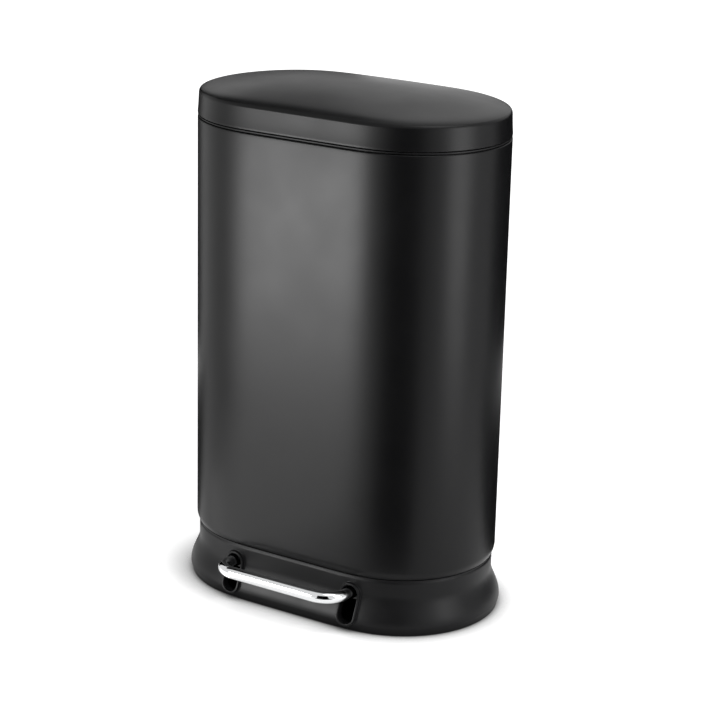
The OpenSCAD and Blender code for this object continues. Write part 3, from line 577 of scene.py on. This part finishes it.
def base_radius(s, z):
    """Radius of the base's outer face at a height.

    It is the neck, a smoothstep flare down to the widest line and a straight bevel below it. The fine band
    under the seam and the seam's gap step in by smoothsteps.
    """
    flare = -s.neck + (s.neck + s.flare) * smooth((s.flare_top - z) / (s.flare_top - s.flare_low))
    drop = np.clip((s.flare_low - z) / (s.flare_low - BASE_LOW.z), 0, 1)
    gap = smooth((z - (SEAM_Z - s.seam_gap)) / GAP_SOFT)
    band = smooth((z - (SEAM_Z - s.seam_band)) / BAND_SOFT)
    return SHELL_R + flare - s.bevel * drop - s.seam_depth * gap - BAND_STEP * band


def collar_section(s):
    """A collar's outer and inner line: distances from the slot's edge, and heights above the base's face."""
    foot, outer, inner, wall = 0.8 * MM, 1.1 * MM, 1.0 * MM, 1.6 * MM
    a = np.radians(np.linspace(0, 90, 6))
    w, top = s.collar_w, s.collar_out
    line = profile(
        (w + foot * (1 - np.sin(a)), foot * (1 - np.cos(a))),
        (np.full(2, w), np.linspace(foot, top - outer, 4)[1:3]),
        (w - outer + outer * np.cos(a), top - outer + outer * np.sin(a)),
        (inner * (1 - np.sin(a)), top - inner + inner * np.cos(a)),
        (np.zeros(8), np.linspace(top - inner, -s.slot_depth, 9)[1:])
    )
    half = len(line[0]) // 2
    back = profile(
        (np.linspace(w + foot, wall, half, endpoint=False), np.full(half, -s.base_wall)),
        (np.full(half, wall), np.linspace(-s.base_wall, -s.slot_depth, half))
    )
    return line, back


def face_ring(s, at, out):
    """A ring of x and z points laid on the base's front face and moved straight out of it."""
    x, z = at.T
    return np.stack([x, MID_Y - half_depth(x, base_radius(s, z)) - out, z], axis=-1)


class BIN_OT_base(bpy.types.Operator):
    """The flared base: a swept wall, where a patch round each slot runs from the grid to a raised collar."""
    bl_idname = "bin.base"
    bl_label = "Base"

    def execute(self, context):
        s = context.scene.bin_sizes
        arm_x = (BAR_HIGH.x - BAR_LOW.x - s.bar_d) / 2
        radius = s.slot_w / 2
        line, back = collar_section(s)
        margin, slack = 6 * MM, 0.5 * MM
        patch = radius + s.collar_w + margin
        band = SEAM_Z - s.seam_band
        # Rows lie closest where the profile turns: over the bevel, at the band's step and at the seam's gap
        z = np.unique(np.concatenate([
            np.linspace(BASE_LOW.z, s.flare_low - 0.4 * MM, 6), np.linspace(s.flare_low, s.flare_top, 26),
            np.linspace(s.flare_top, band, 7), np.linspace(band, band + BAND_SOFT, 4),
            SEAM_Z - s.seam_gap + np.array([-0.1, 0.0, 0.1, 0.2, 0.3]) * MM, [SEAM_Z]
        ]))
        centres, spokes = stations(s, [arm_x - patch, patch - arm_x], finer=2)
        radii = base_radius(s, z)
        rows = swept(centres, spokes, radii, z)
        columns = rows.shape[1]
        outer, quads = grid(rows)
        inner = swept(centres, spokes, radii - s.base_wall, z).reshape(-1, 3)
        column_x = rows[len(z) // 2, :, 0]
        # The patches end at the band, so that the seam runs on unbroken above them
        top = np.flatnonzero(z <= band + WELD)[-1]
        front = rows[0, :, 1] < MID_Y
        level, cell = np.divmod(np.arange(len(quads)), columns)
        keep = np.ones(len(quads), bool)
        outer_rings, inner_rings, ring_quads, start = [outer], [inner], [], len(outer)
        for x0 in (-arm_x, arm_x):
            first, last = np.flatnonzero(front & (np.abs(column_x - x0) < patch + slack))[[0, -1]]
            keep &= ~((cell >= first) & (cell < last) & (level < top))
            border = np.concatenate([
                np.arange(first, last), last + columns * np.arange(top),
                top * columns + np.arange(last, first, -1), first + columns * np.arange(top, 0, -1)
            ])
            edge = outer[border][:, [0, 2]]
            middle = np.clip(edge[:, 1], s.slot_z + radius, s.slot_z + s.slot_h - radius)
            axis = np.stack([np.full(len(edge), x0), middle], axis=-1)
            way = edge - axis
            reach = np.linalg.norm(way, axis=1, keepdims=True)
            way /= reach
            foot = radius + line[0][0]
            # Rings from the grid to the collar's foot, each this part of the way
            blend = [reach + (foot - reach) * b for b in (0.35, 0.7, 0.9)]
            for rings, out, section in ((outer_rings, 0.0, line), (inner_rings, -s.base_wall, back)):
                rings += [face_ring(s, axis + way * far, out) for far in blend]
                rings += [face_ring(s, axis + way * (radius + t), up) for t, up in zip(*section)]
            count, ring_count = len(border), len(blend) + len(line[0])
            after = np.roll(np.arange(count), -1)
            ring_quads += [
                np.stack([border, border[after], start + after, start + np.arange(count)], axis=-1),
                grid_quads(ring_count, count) + start
            ]
            start += ring_count * count
        quads = np.concatenate([quads[keep]] + ring_quads)
        mesh = double_skin(np.concatenate(outer_rings), np.concatenate(inner_rings), quads, NO_TRIANGLES)
        make_piece("base_moulding", mesh, "black_plastic", "can", "base_skirt")
        return {"FINISHED"}


class BIN_OT_rim_ring(bpy.types.Operator):
    """The ring between shell and lid: a rounded band outside and a skirt that hooks over the hem inside."""
    bl_idname = "bin.rim_ring"
    bl_label = "Rim ring"

    def execute(self, context):
        s = context.scene.bin_sizes
        low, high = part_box("rim_ring")
        outside = (high.y - low.y) / 2
        top, band_low, seat = high.z - 0.4 * MM, SHELL_TOP + 1.3 * MM, SHELL_TOP + 0.02 * MM
        soft = 0.5 * MM
        recess = outside - 2.8 * MM
        skirt_out, skirt_in = SHELL_R - s.hem - 0.3 * MM, SHELL_R - s.hem - 2.3 * MM
        radii, heights = profile(
            arc(outside - soft, band_low + soft, soft, -90, 0, 6),
            arc(outside - soft, top - soft, soft, 0, 90, 6),
            arc(skirt_in + soft, top - soft, soft, 90, 180, 5),
            ([skirt_in, skirt_out, skirt_out, recess, recess], [low.z, low.z, seat, seat, band_low])
        )
        centres, spokes = stations(s, [-WINDOW_X, WINDOW_X])
        rows = swept(centres, spokes, radii, heights)
        # The skirt stops at the hinge's window
        notch = (np.abs(centres) < WINDOW_X - WELD) & (spokes[:, 1] > 0.99)
        rows[:, notch, 2] = np.maximum(rows[:, notch, 2], seat)
        points, quads = grid(rows)
        k = np.arange(len(centres))
        m = np.roll(k, -1)
        last = len(points) - len(centres)
        quads = np.concatenate([quads, np.stack([last + k, last + m, m, k], axis=-1)])
        make_piece("rim_trim", (points, quads, NO_TRIANGLES), "black_plastic", "can", "rim_ring")
        return {"FINISHED"}


# ---------- Lid ----------

LID_DRAFT = 1.4 * MM
# Heights in the lid's top, and how far in from the side the shoulder and the slope reach. A bow is what the
# middle of the front has more than the ends
EDGE_H, EDGE_BOW = 24.6 * MM, 1.2 * MM
SHOULDER_H, SHOULDER_IN = 3.2 * MM, 2.6 * MM
SLOPE_H, SLOPE_IN = 3.4 * MM, 6 * MM
DOME_H, DOME_BOW, DOME_TILT = 5.2 * MM, 8.7 * MM, 1.2 * MM


def lid_height(x, y, inset):
    """Height of the lid's top: an elliptic shoulder, a slope that fades out exponentially, and a sine dome.

    The bows fall off with x squared, and the dome tilts up towards the back.
    """
    middle = 1 - (x / (END_X + SHELL_R)) ** 2
    shoulder = SHOULDER_H * np.sqrt(1 - (1 - np.minimum(inset / SHOULDER_IN, 1)) ** 2)
    slope = SLOPE_H * (1 - np.exp(-inset / SLOPE_IN))
    rise = DOME_H + DOME_BOW * middle + DOME_TILT * (y - MID_Y) / SHELL_R
    edge = LID_LOW.z + EDGE_H + EDGE_BOW * middle
    return edge + shoulder + slope + rise * np.sin(math.pi / 2 * inset / SHELL_R)


def lid_rows(s, skirt, count, power, closer=0.0):
    """The skirt's rows, then rings drawn in to the lid's middle line, on a shape offset inward by closer.

    The rings' insets go up as a power of their number, so that they lie closest at the shoulder.
    """
    insets = LID_DRAFT + (SHELL_R - LID_DRAFT) * np.linspace(0, 1, count) ** power
    centres, spokes = stations(s)
    radii = np.concatenate([skirt[0], SHELL_R - insets]) - closer
    radii[-1] = 0.0
    rows = swept(centres, spokes, radii, np.concatenate([skirt[1], np.zeros(count)]))
    dome = rows[len(skirt[0]):]
    dome[..., 2] = lid_height(dome[..., 0], dome[..., 1], insets[:, None] - insets[0]) - closer
    return rows


def lid_side(low, high, count):
    """The lid's side: a line plus a cubic that leans most at the foot. It stops short of the shoulder."""
    t = np.linspace(0, 0.92, count)
    return SHELL_R - LID_DRAFT * (0.65 * t + 0.35 * (1 - (1 - t) ** 3)), low + (high - low) * t


class BIN_OT_lid(bpy.types.Operator):
    """The steel lid: a straight skirt with a turned lower edge, a rolled top edge and a long shallow dome."""
    bl_idname = "bin.lid"
    bl_label = "Lid"

    def execute(self, context):
        s = context.scene.bin_sizes
        lip = 0.8 * MM
        skirt = profile(
            arc(SHELL_R - lip, LID_LOW.z + lip, lip, -80, 0, 5),
            lid_side(LID_LOW.z + 2 * MM, LID_LOW.z + 26 * MM, 18)
        )
        mesh = sheet(*grid(lid_rows(s, skirt, count=80, power=2.4)), s.sheet)
        make_piece("lid_dome", mesh, "black_powder_coat", "lid", "lid_shell")
        return {"FINISHED"}


class BIN_OT_lid_liner(bpy.types.Operator):
    """The plastic liner inside the lid, with a ledge round its lower edge."""
    bl_idname = "bin.lid_liner"
    bl_label = "Lid liner"

    def execute(self, context):
        s = context.scene.bin_sizes
        gap = s.sheet + 0.3 * MM
        low = LID_LOW.z + 1 * MM
        ledge, soft, wall = 7 * MM, 1.5 * MM, 1.6 * MM
        skirt = profile(
            (SHELL_R - ledge, low), arc(SHELL_R - soft, low + soft, soft, -90, 0, 5),
            lid_side(low + 3 * MM, LID_LOW.z + 24.9 * MM, 10)
        )
        mesh = sheet(*grid(lid_rows(s, skirt, count=40, power=2, closer=gap)), wall)
        make_piece("lid_lining", mesh, "grey_plastic", "lid", "lid_liner")
        return {"FINISHED"}


# ---------- Foot bar ----------

class BIN_OT_foot_bar(bpy.types.Operator):
    """The chrome foot bar: two arms and a cross bar in one tube, bent round two quarter circles."""
    bl_idname = "bin.foot_bar"
    bl_label = "Foot bar"

    def execute(self, context):
        s = context.scene.bin_sizes
        radius = s.bar_d / 2
        front = Vector((0, BAR_LOW.y + radius, BAR_HIGH.z - radius))
        reach = Vector((0, front.y - PEDAL.y, front.z - PEDAL.z))
        ahead = np.array(reach.normalized())
        across = np.array([1.0, 0.0, 0.0])
        arm_x = BAR_HIGH.x - radius
        length = reach.length
        # The arms start this far in front of the pivot
        back = 40 * MM
        bend = np.radians(np.linspace(0, 90, 33))
        bend_x = arm_x - s.bend_r + s.bend_r * np.cos(bend)
        bend_u = length - s.bend_r + s.bend_r * np.sin(bend)
        arm_u = np.linspace(back, length - s.bend_r, 30)[:-1]
        cross_x = np.linspace(arm_x - s.bend_r, -(arm_x - s.bend_r), 40)[1:-1]
        arm = np.full(arm_u.size, arm_x)
        x = np.concatenate([arm, bend_x, cross_x, -bend_x[::-1], -arm])
        u = np.concatenate([arm_u, bend_u, np.full(cross_x.size, length), bend_u[::-1], arm_u[::-1]])
        path = np.array(PEDAL)[None] + x[:, None] * across + u[:, None] * ahead
        mesh = tube(path, np.cross(across, ahead), radius, 56)
        make_piece("foot_bar_tube", mesh, "chrome", "pedal", "foot_bar")
        return {"FINISHED"}


# ---------- Bucket ----------

def lug(x, y, z, side, reach, thickness):
    """A lug that stands in from the end wall: a round nose towards the middle and a square root in the wall.

    The outline is an ellipse of power 2 at the nose and about 7 at the root. It is carried across the
    thickness as pairs of place and scale: the face's middle, a ring on it, and a quarter turn round its edge.
    """
    a = np.linspace(0, 2 * math.pi, 64, endpoint=False)
    c, h = np.cos(a), np.sin(a)
    nose, soft, half = 5 * MM, 0.6 * MM, thickness / 2
    out = np.where(c > 0, reach * np.abs(c) ** 0.3, nose * c)
    up = nose * np.where(c > 0, np.sign(h) * np.abs(h) ** 0.3, h)
    cap = [(-half, 0), (-half, 0.45)]
    for turn in np.radians(np.linspace(0, 90, 5)):
        cap.append((-half + soft * (1 - math.cos(turn)), 1 - 0.12 * (1 - math.sin(turn))))
    v, k = np.array(cap + [(-v, k) for v, k in reversed(cap)]).T[..., None]
    rows = np.stack(np.broadcast_arrays(x + side * k * out, y - side * v, z + k * up), axis=-1)
    return weld(*grid(rows))


class BIN_OT_bucket(bpy.types.Operator):
    """The inner bucket: a drafted wall on a rounded foot, a rim rolled outward and four handle lugs."""
    bl_idname = "bin.bucket"
    bl_label = "Inner bucket"

    def execute(self, context):
        s = context.scene.bin_sizes
        low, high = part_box("inner_bucket")
        outside = (high.y - low.y) / 2
        end_x = high.x - outside
        mid = mid_y("inner_bucket")
        wall, corner, roll, fold = 2 * MM, 9 * MM, 2 * MM, 1 * MM
        overhang, draft = 6 * MM, 3 * MM
        upper = outside - overhang
        lower = upper - draft
        foot, top = low.z, high.z
        radii, heights = profile(
            (np.linspace(0, lower - corner, 14, endpoint=False), np.full(14, foot)),
            arc(lower - corner, foot + corner, corner, -90, 0, 9),
            (np.linspace(lower, upper, 30)[1:], np.linspace(foot + corner, top - 5 * MM, 30)[1:]),
            arc(upper + roll, top - wall - roll, roll, 180, 90, 6),
            arc(outside - wall - fold, top - wall - fold, fold, 90, 0, 6),
            ([outside - wall, outside - wall], [top - 4.5 * MM, top - 6.5 * MM])
        )
        centres, spokes = stations(s)
        rows = swept(centres * (end_x / END_X), spokes, radii, heights)
        rows[..., 1] += mid - MID_Y
        body = sheet(*grid(rows), wall)
        wire_low, wire_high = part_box("bucket_handle_right")
        wire_x = (wire_low.x + wire_high.x) / 2
        wire_z = wire_high.z - (wire_high.x - wire_low.x) / 2
        lug_y = (wire_high.y - wire_low.y) / 2 - 3.5 * MM
        lugs = [
            lug(side * wire_x, mid + k * lug_y, wire_z, side, reach=7.2 * MM, thickness=5 * MM)
            for side in (-1, 1) for k in (-1, 1)
        ]
        make_piece("bucket_shell", joined(body, *lugs), "grey_plastic", "can", "inner_bucket")
        return {"FINISHED"}


def bent_path(corners, bends, count=12):
    """A path through corners in one plane. Each corner between the ends is a right angle on a radius."""
    parts = [corners[:1]]
    for before, corner, after, radius in zip(corners, corners[1:], corners[2:], bends):
        a, b = [(end - corner) / np.linalg.norm(end - corner) for end in (before, after)]
        turn = np.radians(np.linspace(0, 90, count))[:, None]
        parts.append(corner + radius * (a + b) - radius * (b * np.cos(turn) + a * np.sin(turn)))
    return np.concatenate(parts + [corners[-1:]])


class BIN_OT_bucket_handles(bpy.types.Operator):
    """The two wire handles: a bar, two legs and two ends that turn out through the lugs."""
    bl_idname = "bin.bucket_handles"
    bl_label = "Bucket handles"

    def execute(self, context):
        leg, tight, wide = 9 * MM, 2.6 * MM, 7 * MM
        for side in ("left", "right"):
            low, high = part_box(f"bucket_handle_{side}")
            radius = (high.x - low.x) / 2
            x = (low.x + high.x) / 2
            y = np.array([low.y, low.y + leg, low.y + leg, high.y - leg, high.y - leg, high.y])
            up = np.array([-1, -1, 1, 1, -1, -1])
            z = np.array([high.z, high.z, low.z, low.z, high.z, high.z]) + radius * up
            path = bent_path(np.stack([np.full(6, x), y, z], axis=-1), [tight, wide, wide, tight])
            mesh = tube(path, np.array([1.0, 0.0, 0.0]), radius, 24)
            body = joint(f"{side}_bucket_handle")["child"]
            make_piece(f"bucket_wire_{side}", mesh, "zinc_steel", body, f"bucket_handle_{side}")
        return {"FINISHED"}


# ---------- Return spring ----------

class BIN_OT_return_spring(bpy.types.Operator):
    """The coil round the lift rod: a helix whose end turns lie flat."""
    bl_idname = "bin.return_spring"
    bl_label = "Return spring"

    def execute(self, context):
        turns = context.scene.bin_sizes.spring_turns
        low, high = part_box("return_spring")
        rod_low, rod_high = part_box("lift_rod")
        play = 0.8 * MM
        wire = ((high.x - low.x) / 2 - (rod_high.x - rod_low.x) / 2 - play) / 2
        radius = (high.x - low.x) / 2 - wire
        turn = np.linspace(0, 2 * math.pi * turns, 40 * turns + 1)
        past = turn / (2 * math.pi)
        # An end turn climbs by 0.16 of what a middle turn does
        climb = np.cumsum(0.16 + 0.84 * smooth(past) * smooth(turns - past))
        climb -= climb[0]
        out = np.stack([np.cos(turn), np.sin(turn), np.zeros_like(turn)], axis=-1)
        axis = np.array([0.0, (low.y + high.y) / 2, 0.0])
        path = axis + radius * out
        path[:, 2] = low.z + wire + (high.z - low.z - 2 * wire) * climb / climb[-1]
        spring = make_piece("return_coil", tube(path, out, wire, 14), "zinc_steel", "can", "return_spring")
        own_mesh(spring)
        return {"FINISHED"}


# ---------- CAD nodes that keep their shape ----------

class BIN_OT_carried(bpy.types.Operator):
    """Gives every CAD node that stays visible the finish of its slot."""
    bl_idname = "bin.carried"
    bl_label = "Frame's finishes"

    def execute(self, context):
        for part in frame["record"]["subparts"]:
            node = frame["nodes"][part["node"]]
            node.data.materials.clear()
            node.data.materials.append(finish(part["material_slot"]))
        return {"FINISHED"}


# ---------- Studio ----------

def shown_rays(tree):
    """1 for the rays that show the background: those from the camera, off gloss and through glass."""
    path = add_node(tree, "ShaderNodeLightPath")
    shown = path.outputs["Is Camera Ray"]
    for kind in ("Is Glossy Ray", "Is Transmission Ray"):
        either = add_node(tree, "ShaderNodeMath", {0: shown, 1: path.outputs[kind]}, operation="MAXIMUM")
        shown = either.outputs[0]
    return shown


def paper_floor(colour, lift, near, far, contact):
    """Matt paper that keeps the lamps' shadows near the bin, with a painted contact shade under the base, and runs
    out into an even white farther away.
    """
    material, tree, place = new_material("Paper floor")
    shown = shown_rays(tree)
    away = add_node(tree, "ShaderNodeVectorMath", {0: place}, operation="LENGTH")
    out = add_node(tree, "ShaderNodeMapRange", {
        "Value": away.outputs["Value"], "From Min": near, "From Max": far, "To Min": lift, "To Max": 1.0
    })
    strength = add_node(tree, "ShaderNodeMath", {0: shown, 1: out.outputs["Result"]}, operation="MULTIPLY")
    # Painted shade: ambient occlusion darkens the floor's white glow in a line of contact under the base, a finger
    # wide
    open_sky = add_node(
        tree, "ShaderNodeAmbientOcclusion", {"Color": (1, 1, 1, 1), "Distance": contact}, samples=8
    )
    painted_contact_shade = add_node(tree, "ShaderNodeMath", {0: open_sky.outputs["AO"], 1: 1.8}, operation="POWER").outputs[0]
    glow_after_painted_shade = add_node(tree, "ShaderNodeMath", {0: strength.outputs[0], 1: painted_contact_shade}, operation="MULTIPLY")
    # Painted shade: the paper's own colour is darkened by the same contact shade
    paper_with_painted_shade = add_node(tree, "ShaderNodeVectorMath", {0: tuple(colour), "Scale": painted_contact_shade}, operation="SCALE")
    glow = add_node(tree, "ShaderNodeEmission", {"Color": (1, 1, 1, 1), "Strength": glow_after_painted_shade.outputs[0]})
    paper = add_node(tree, "ShaderNodeBsdfDiffuse", {"Color": paper_with_painted_shade.outputs["Vector"]})
    both = add_node(tree, "ShaderNodeAddShader", {0: glow.outputs[0], 1: paper.outputs[0]})
    finish_surface(tree, both.outputs[0])
    return material


def around(azimuth, distance, height):
    """A point round the bin: azimuth 0 is in front and 90 at its right, in degrees."""
    a = math.radians(azimuth)
    return Vector((distance * math.sin(a), MID_Y - distance * math.cos(a), height))


def black_card(name, corners):
    """A black card through four corners, which shows only in the bin's gloss."""
    data = bpy.data.meshes.new(name)
    data.from_pydata([tuple(c) for c in corners], [], [(0, 1, 2, 3)])
    material, tree, _ = new_material(name)
    finish_surface(tree, add_node(tree, "ShaderNodeBsdfDiffuse", {"Color": (0, 0, 0, 1)}).outputs[0])
    data.materials.append(material)
    card = placed(name, data)
    for ray in ("camera", "diffuse", "transmission", "shadow"):
        setattr(card, f"visible_{ray}", False)


def upright_card(name, azimuth, distance, width, low, high):
    """A black card that stands across one direction from the bin."""
    a = math.radians(azimuth)
    along = Vector((math.cos(a), math.sin(a), 0)) * width / 2
    left, right = around(azimuth, distance, 0) - along, around(azimuth, distance, 0) + along
    black_card(name, [(c.x, c.y, z) for c, z in ((left, low), (right, low), (right, high), (left, high))])


def floor_card(name, azimuths, near, far):
    """A black card that lies on the floor between two directions and two distances."""
    a, b = azimuths
    black_card(name, [around(*p, 1 * MM) for p in ((a, near), (b, near), (b, far), (a, far))])


def soft_box(name, place, aim, width, height, power, gloss_only=False):
    """A rectangular soft box that faces the aim. With gloss_only it lights no matt surface."""
    light = bpy.data.lights.new(name, "AREA")
    light.shape = "RECTANGLE"
    light.size, light.size_y = width, height
    light.energy = power
    lamp = placed(name, light)
    lamp.location = place
    lamp.visible_camera = False
    lamp.visible_diffuse = not gloss_only
    lamp.rotation_euler = (Vector(aim) - Vector(place)).to_track_quat("-Z", "Y").to_euler()


class BIN_OT_stage(bpy.types.Operator):
    """A pale floor, four soft boxes, black cards, a white surround and the camera."""
    bl_idname = "bin.stage"
    bl_label = "Studio"

    def execute(self, context):
        scene = context.scene
        studio = scene.bin_studio
        half = 30.0
        data = bpy.data.meshes.new("Floor")
        data.from_pydata(
            [(-half, -half, 0), (half, -half, 0), (half, half, 0), (-half, half, 0)], [], [(0, 1, 2, 3)]
        )
        data.materials.append(paper_floor(studio.floor, studio.lift, near=0.7, far=2.2, contact=42 * MM))
        placed("Floor", data)

        # A soft box has a place, an aim, a width, a height and a power
        aim = (0, MID_Y, 0.33)
        low_place = around(-27, 0.62, 2 * MM)
        soft_box("Key", around(-27, 1.25, 0.24), (0, MID_Y, 0.24), 0.52, 0.46, studio.key, gloss_only=True)
        soft_box("Strip", around(85, 1.0, 0.5), aim, 0.38, 0.9, studio.strip)
        soft_box("Top", around(80, 0.75, 1.9), (0, MID_Y, 0.6), 0.9, 0.9, studio.top)
        soft_box("Low", low_place, low_place + Vector((0, 0, 1)), 0.38, 0.8, studio.low, gloss_only=True)
        # An upright card has an azimuth, a distance, a width and its lower and upper edges' heights
        upright_card("Front_card", 28, 1.1, 0.8, 0.0, 1.0)
        floor_card("Front_floor_card", (9, 50), 0.35, 1.12)
        upright_card("Right_card", 165, 1.0, 1.3, 0.0, 0.75)
        floor_card("Right_floor_card", (125, 200), 0.3, 1.1)
        upright_card("Left_card", -125, 1.0, 0.9, 0.0, 0.75)
        floor_card("Left_floor_card", (-90, -155), 0.28, 1.05)
        upright_card("High_card", 250, 1.6, 2.2, 1.5, 3.0)
        upright_card("Back_card", 243, 1.6, 0.6, 0.75, 1.4)

        world = bpy.data.worlds.new("Surround")
        scene.world = world
        world.use_nodes = True
        tree = world.node_tree
        tree.nodes.clear()
        # White where it shows, and dimmer where it lights the bin
        level = add_node(tree, "ShaderNodeMapRange", {
            "Value": shown_rays(tree), "To Min": 0.45, "To Max": 1.0
        })
        glow = add_node(tree, "ShaderNodeBackground", {
            "Color": (1, 1, 1, 1), "Strength": level.outputs["Result"]
        })
        add_node(tree, "ShaderNodeOutputWorld", {"Surface": glow.outputs[0]})
        scene.view_settings.view_transform = "Standard"

        data = bpy.data.cameras.new("Camera")
        data.lens = studio.lens
        data.sensor_width = 36
        data.clip_start, data.clip_end = 0.05, 100
        camera = placed("Camera", data)
        a, e = studio.azimuth, studio.elevation
        back = Vector((math.sin(a) * math.cos(e), -math.cos(a) * math.cos(e), math.sin(e)))
        right = Vector((math.cos(a), math.sin(a), 0))
        up = right.cross(-back)
        turn = Matrix.Rotation(studio.roll, 3, "Z")
        turn @= Matrix.Rotation(studio.nod, 3, "X")
        turn @= Matrix.Rotation(studio.pan, 3, "Y")
        view = turn @ Matrix((right, -up, -back))
        axes = Matrix((view[0], -view[1], -view[2])).transposed().to_4x4()
        place = back * studio.distance + Vector((0, MID_Y, studio.aim))
        camera.matrix_world = Matrix.Translation(place) @ axes
        scene.camera = camera
        return {"FINISHED"}


# ---------- Panel ----------

PIECES = [
    BIN_OT_shell, BIN_OT_base, BIN_OT_rim_ring, BIN_OT_lid, BIN_OT_lid_liner, BIN_OT_foot_bar, BIN_OT_bucket,
    BIN_OT_bucket_handles, BIN_OT_return_spring, BIN_OT_carried, BIN_OT_stage
]


class BIN_PT_panel(bpy.types.Panel):
    """Lists the pieces and their settings."""
    bl_idname = "BIN_PT_panel"
    bl_label = "Pedal bin"
    bl_space_type = "VIEW_3D"
    bl_region_type = "UI"
    bl_category = "Pedal bin"

    def draw(self, context):
        for group in ("bin_sizes", "bin_colours", "bin_studio"):
            settings = getattr(context.scene, group)
            column = self.layout.column(align=True)
            for name in settings.bl_rna.properties.keys():
                if name not in ("rna_type", "name"):
                    column.prop(settings, name)
        for operator in PIECES:
            self.layout.operator(operator.bl_idname)


GROUPS = {"bin_sizes": BinSizes, "bin_colours": BinColours, "bin_studio": BinStudio}
CLASSES = [*GROUPS.values(), *PIECES, BIN_PT_panel]


def register():
    """Registers the classes and hangs the settings on the scene."""
    for cls in CLASSES:
        bpy.utils.register_class(cls)
    for name, cls in GROUPS.items():
        setattr(bpy.types.Scene, name, PointerProperty(type=cls))


def unregister():
    """Takes the settings and classes away again."""
    for name in GROUPS:
        delattr(bpy.types.Scene, name)
    for cls in reversed(CLASSES):
        bpy.utils.unregister_class(cls)


def main():
    register()
    for operator in PIECES:
        group, name = operator.bl_idname.split(".")
        getattr(getattr(bpy.ops, group), name)()


if __name__ == "__main__":
    main()
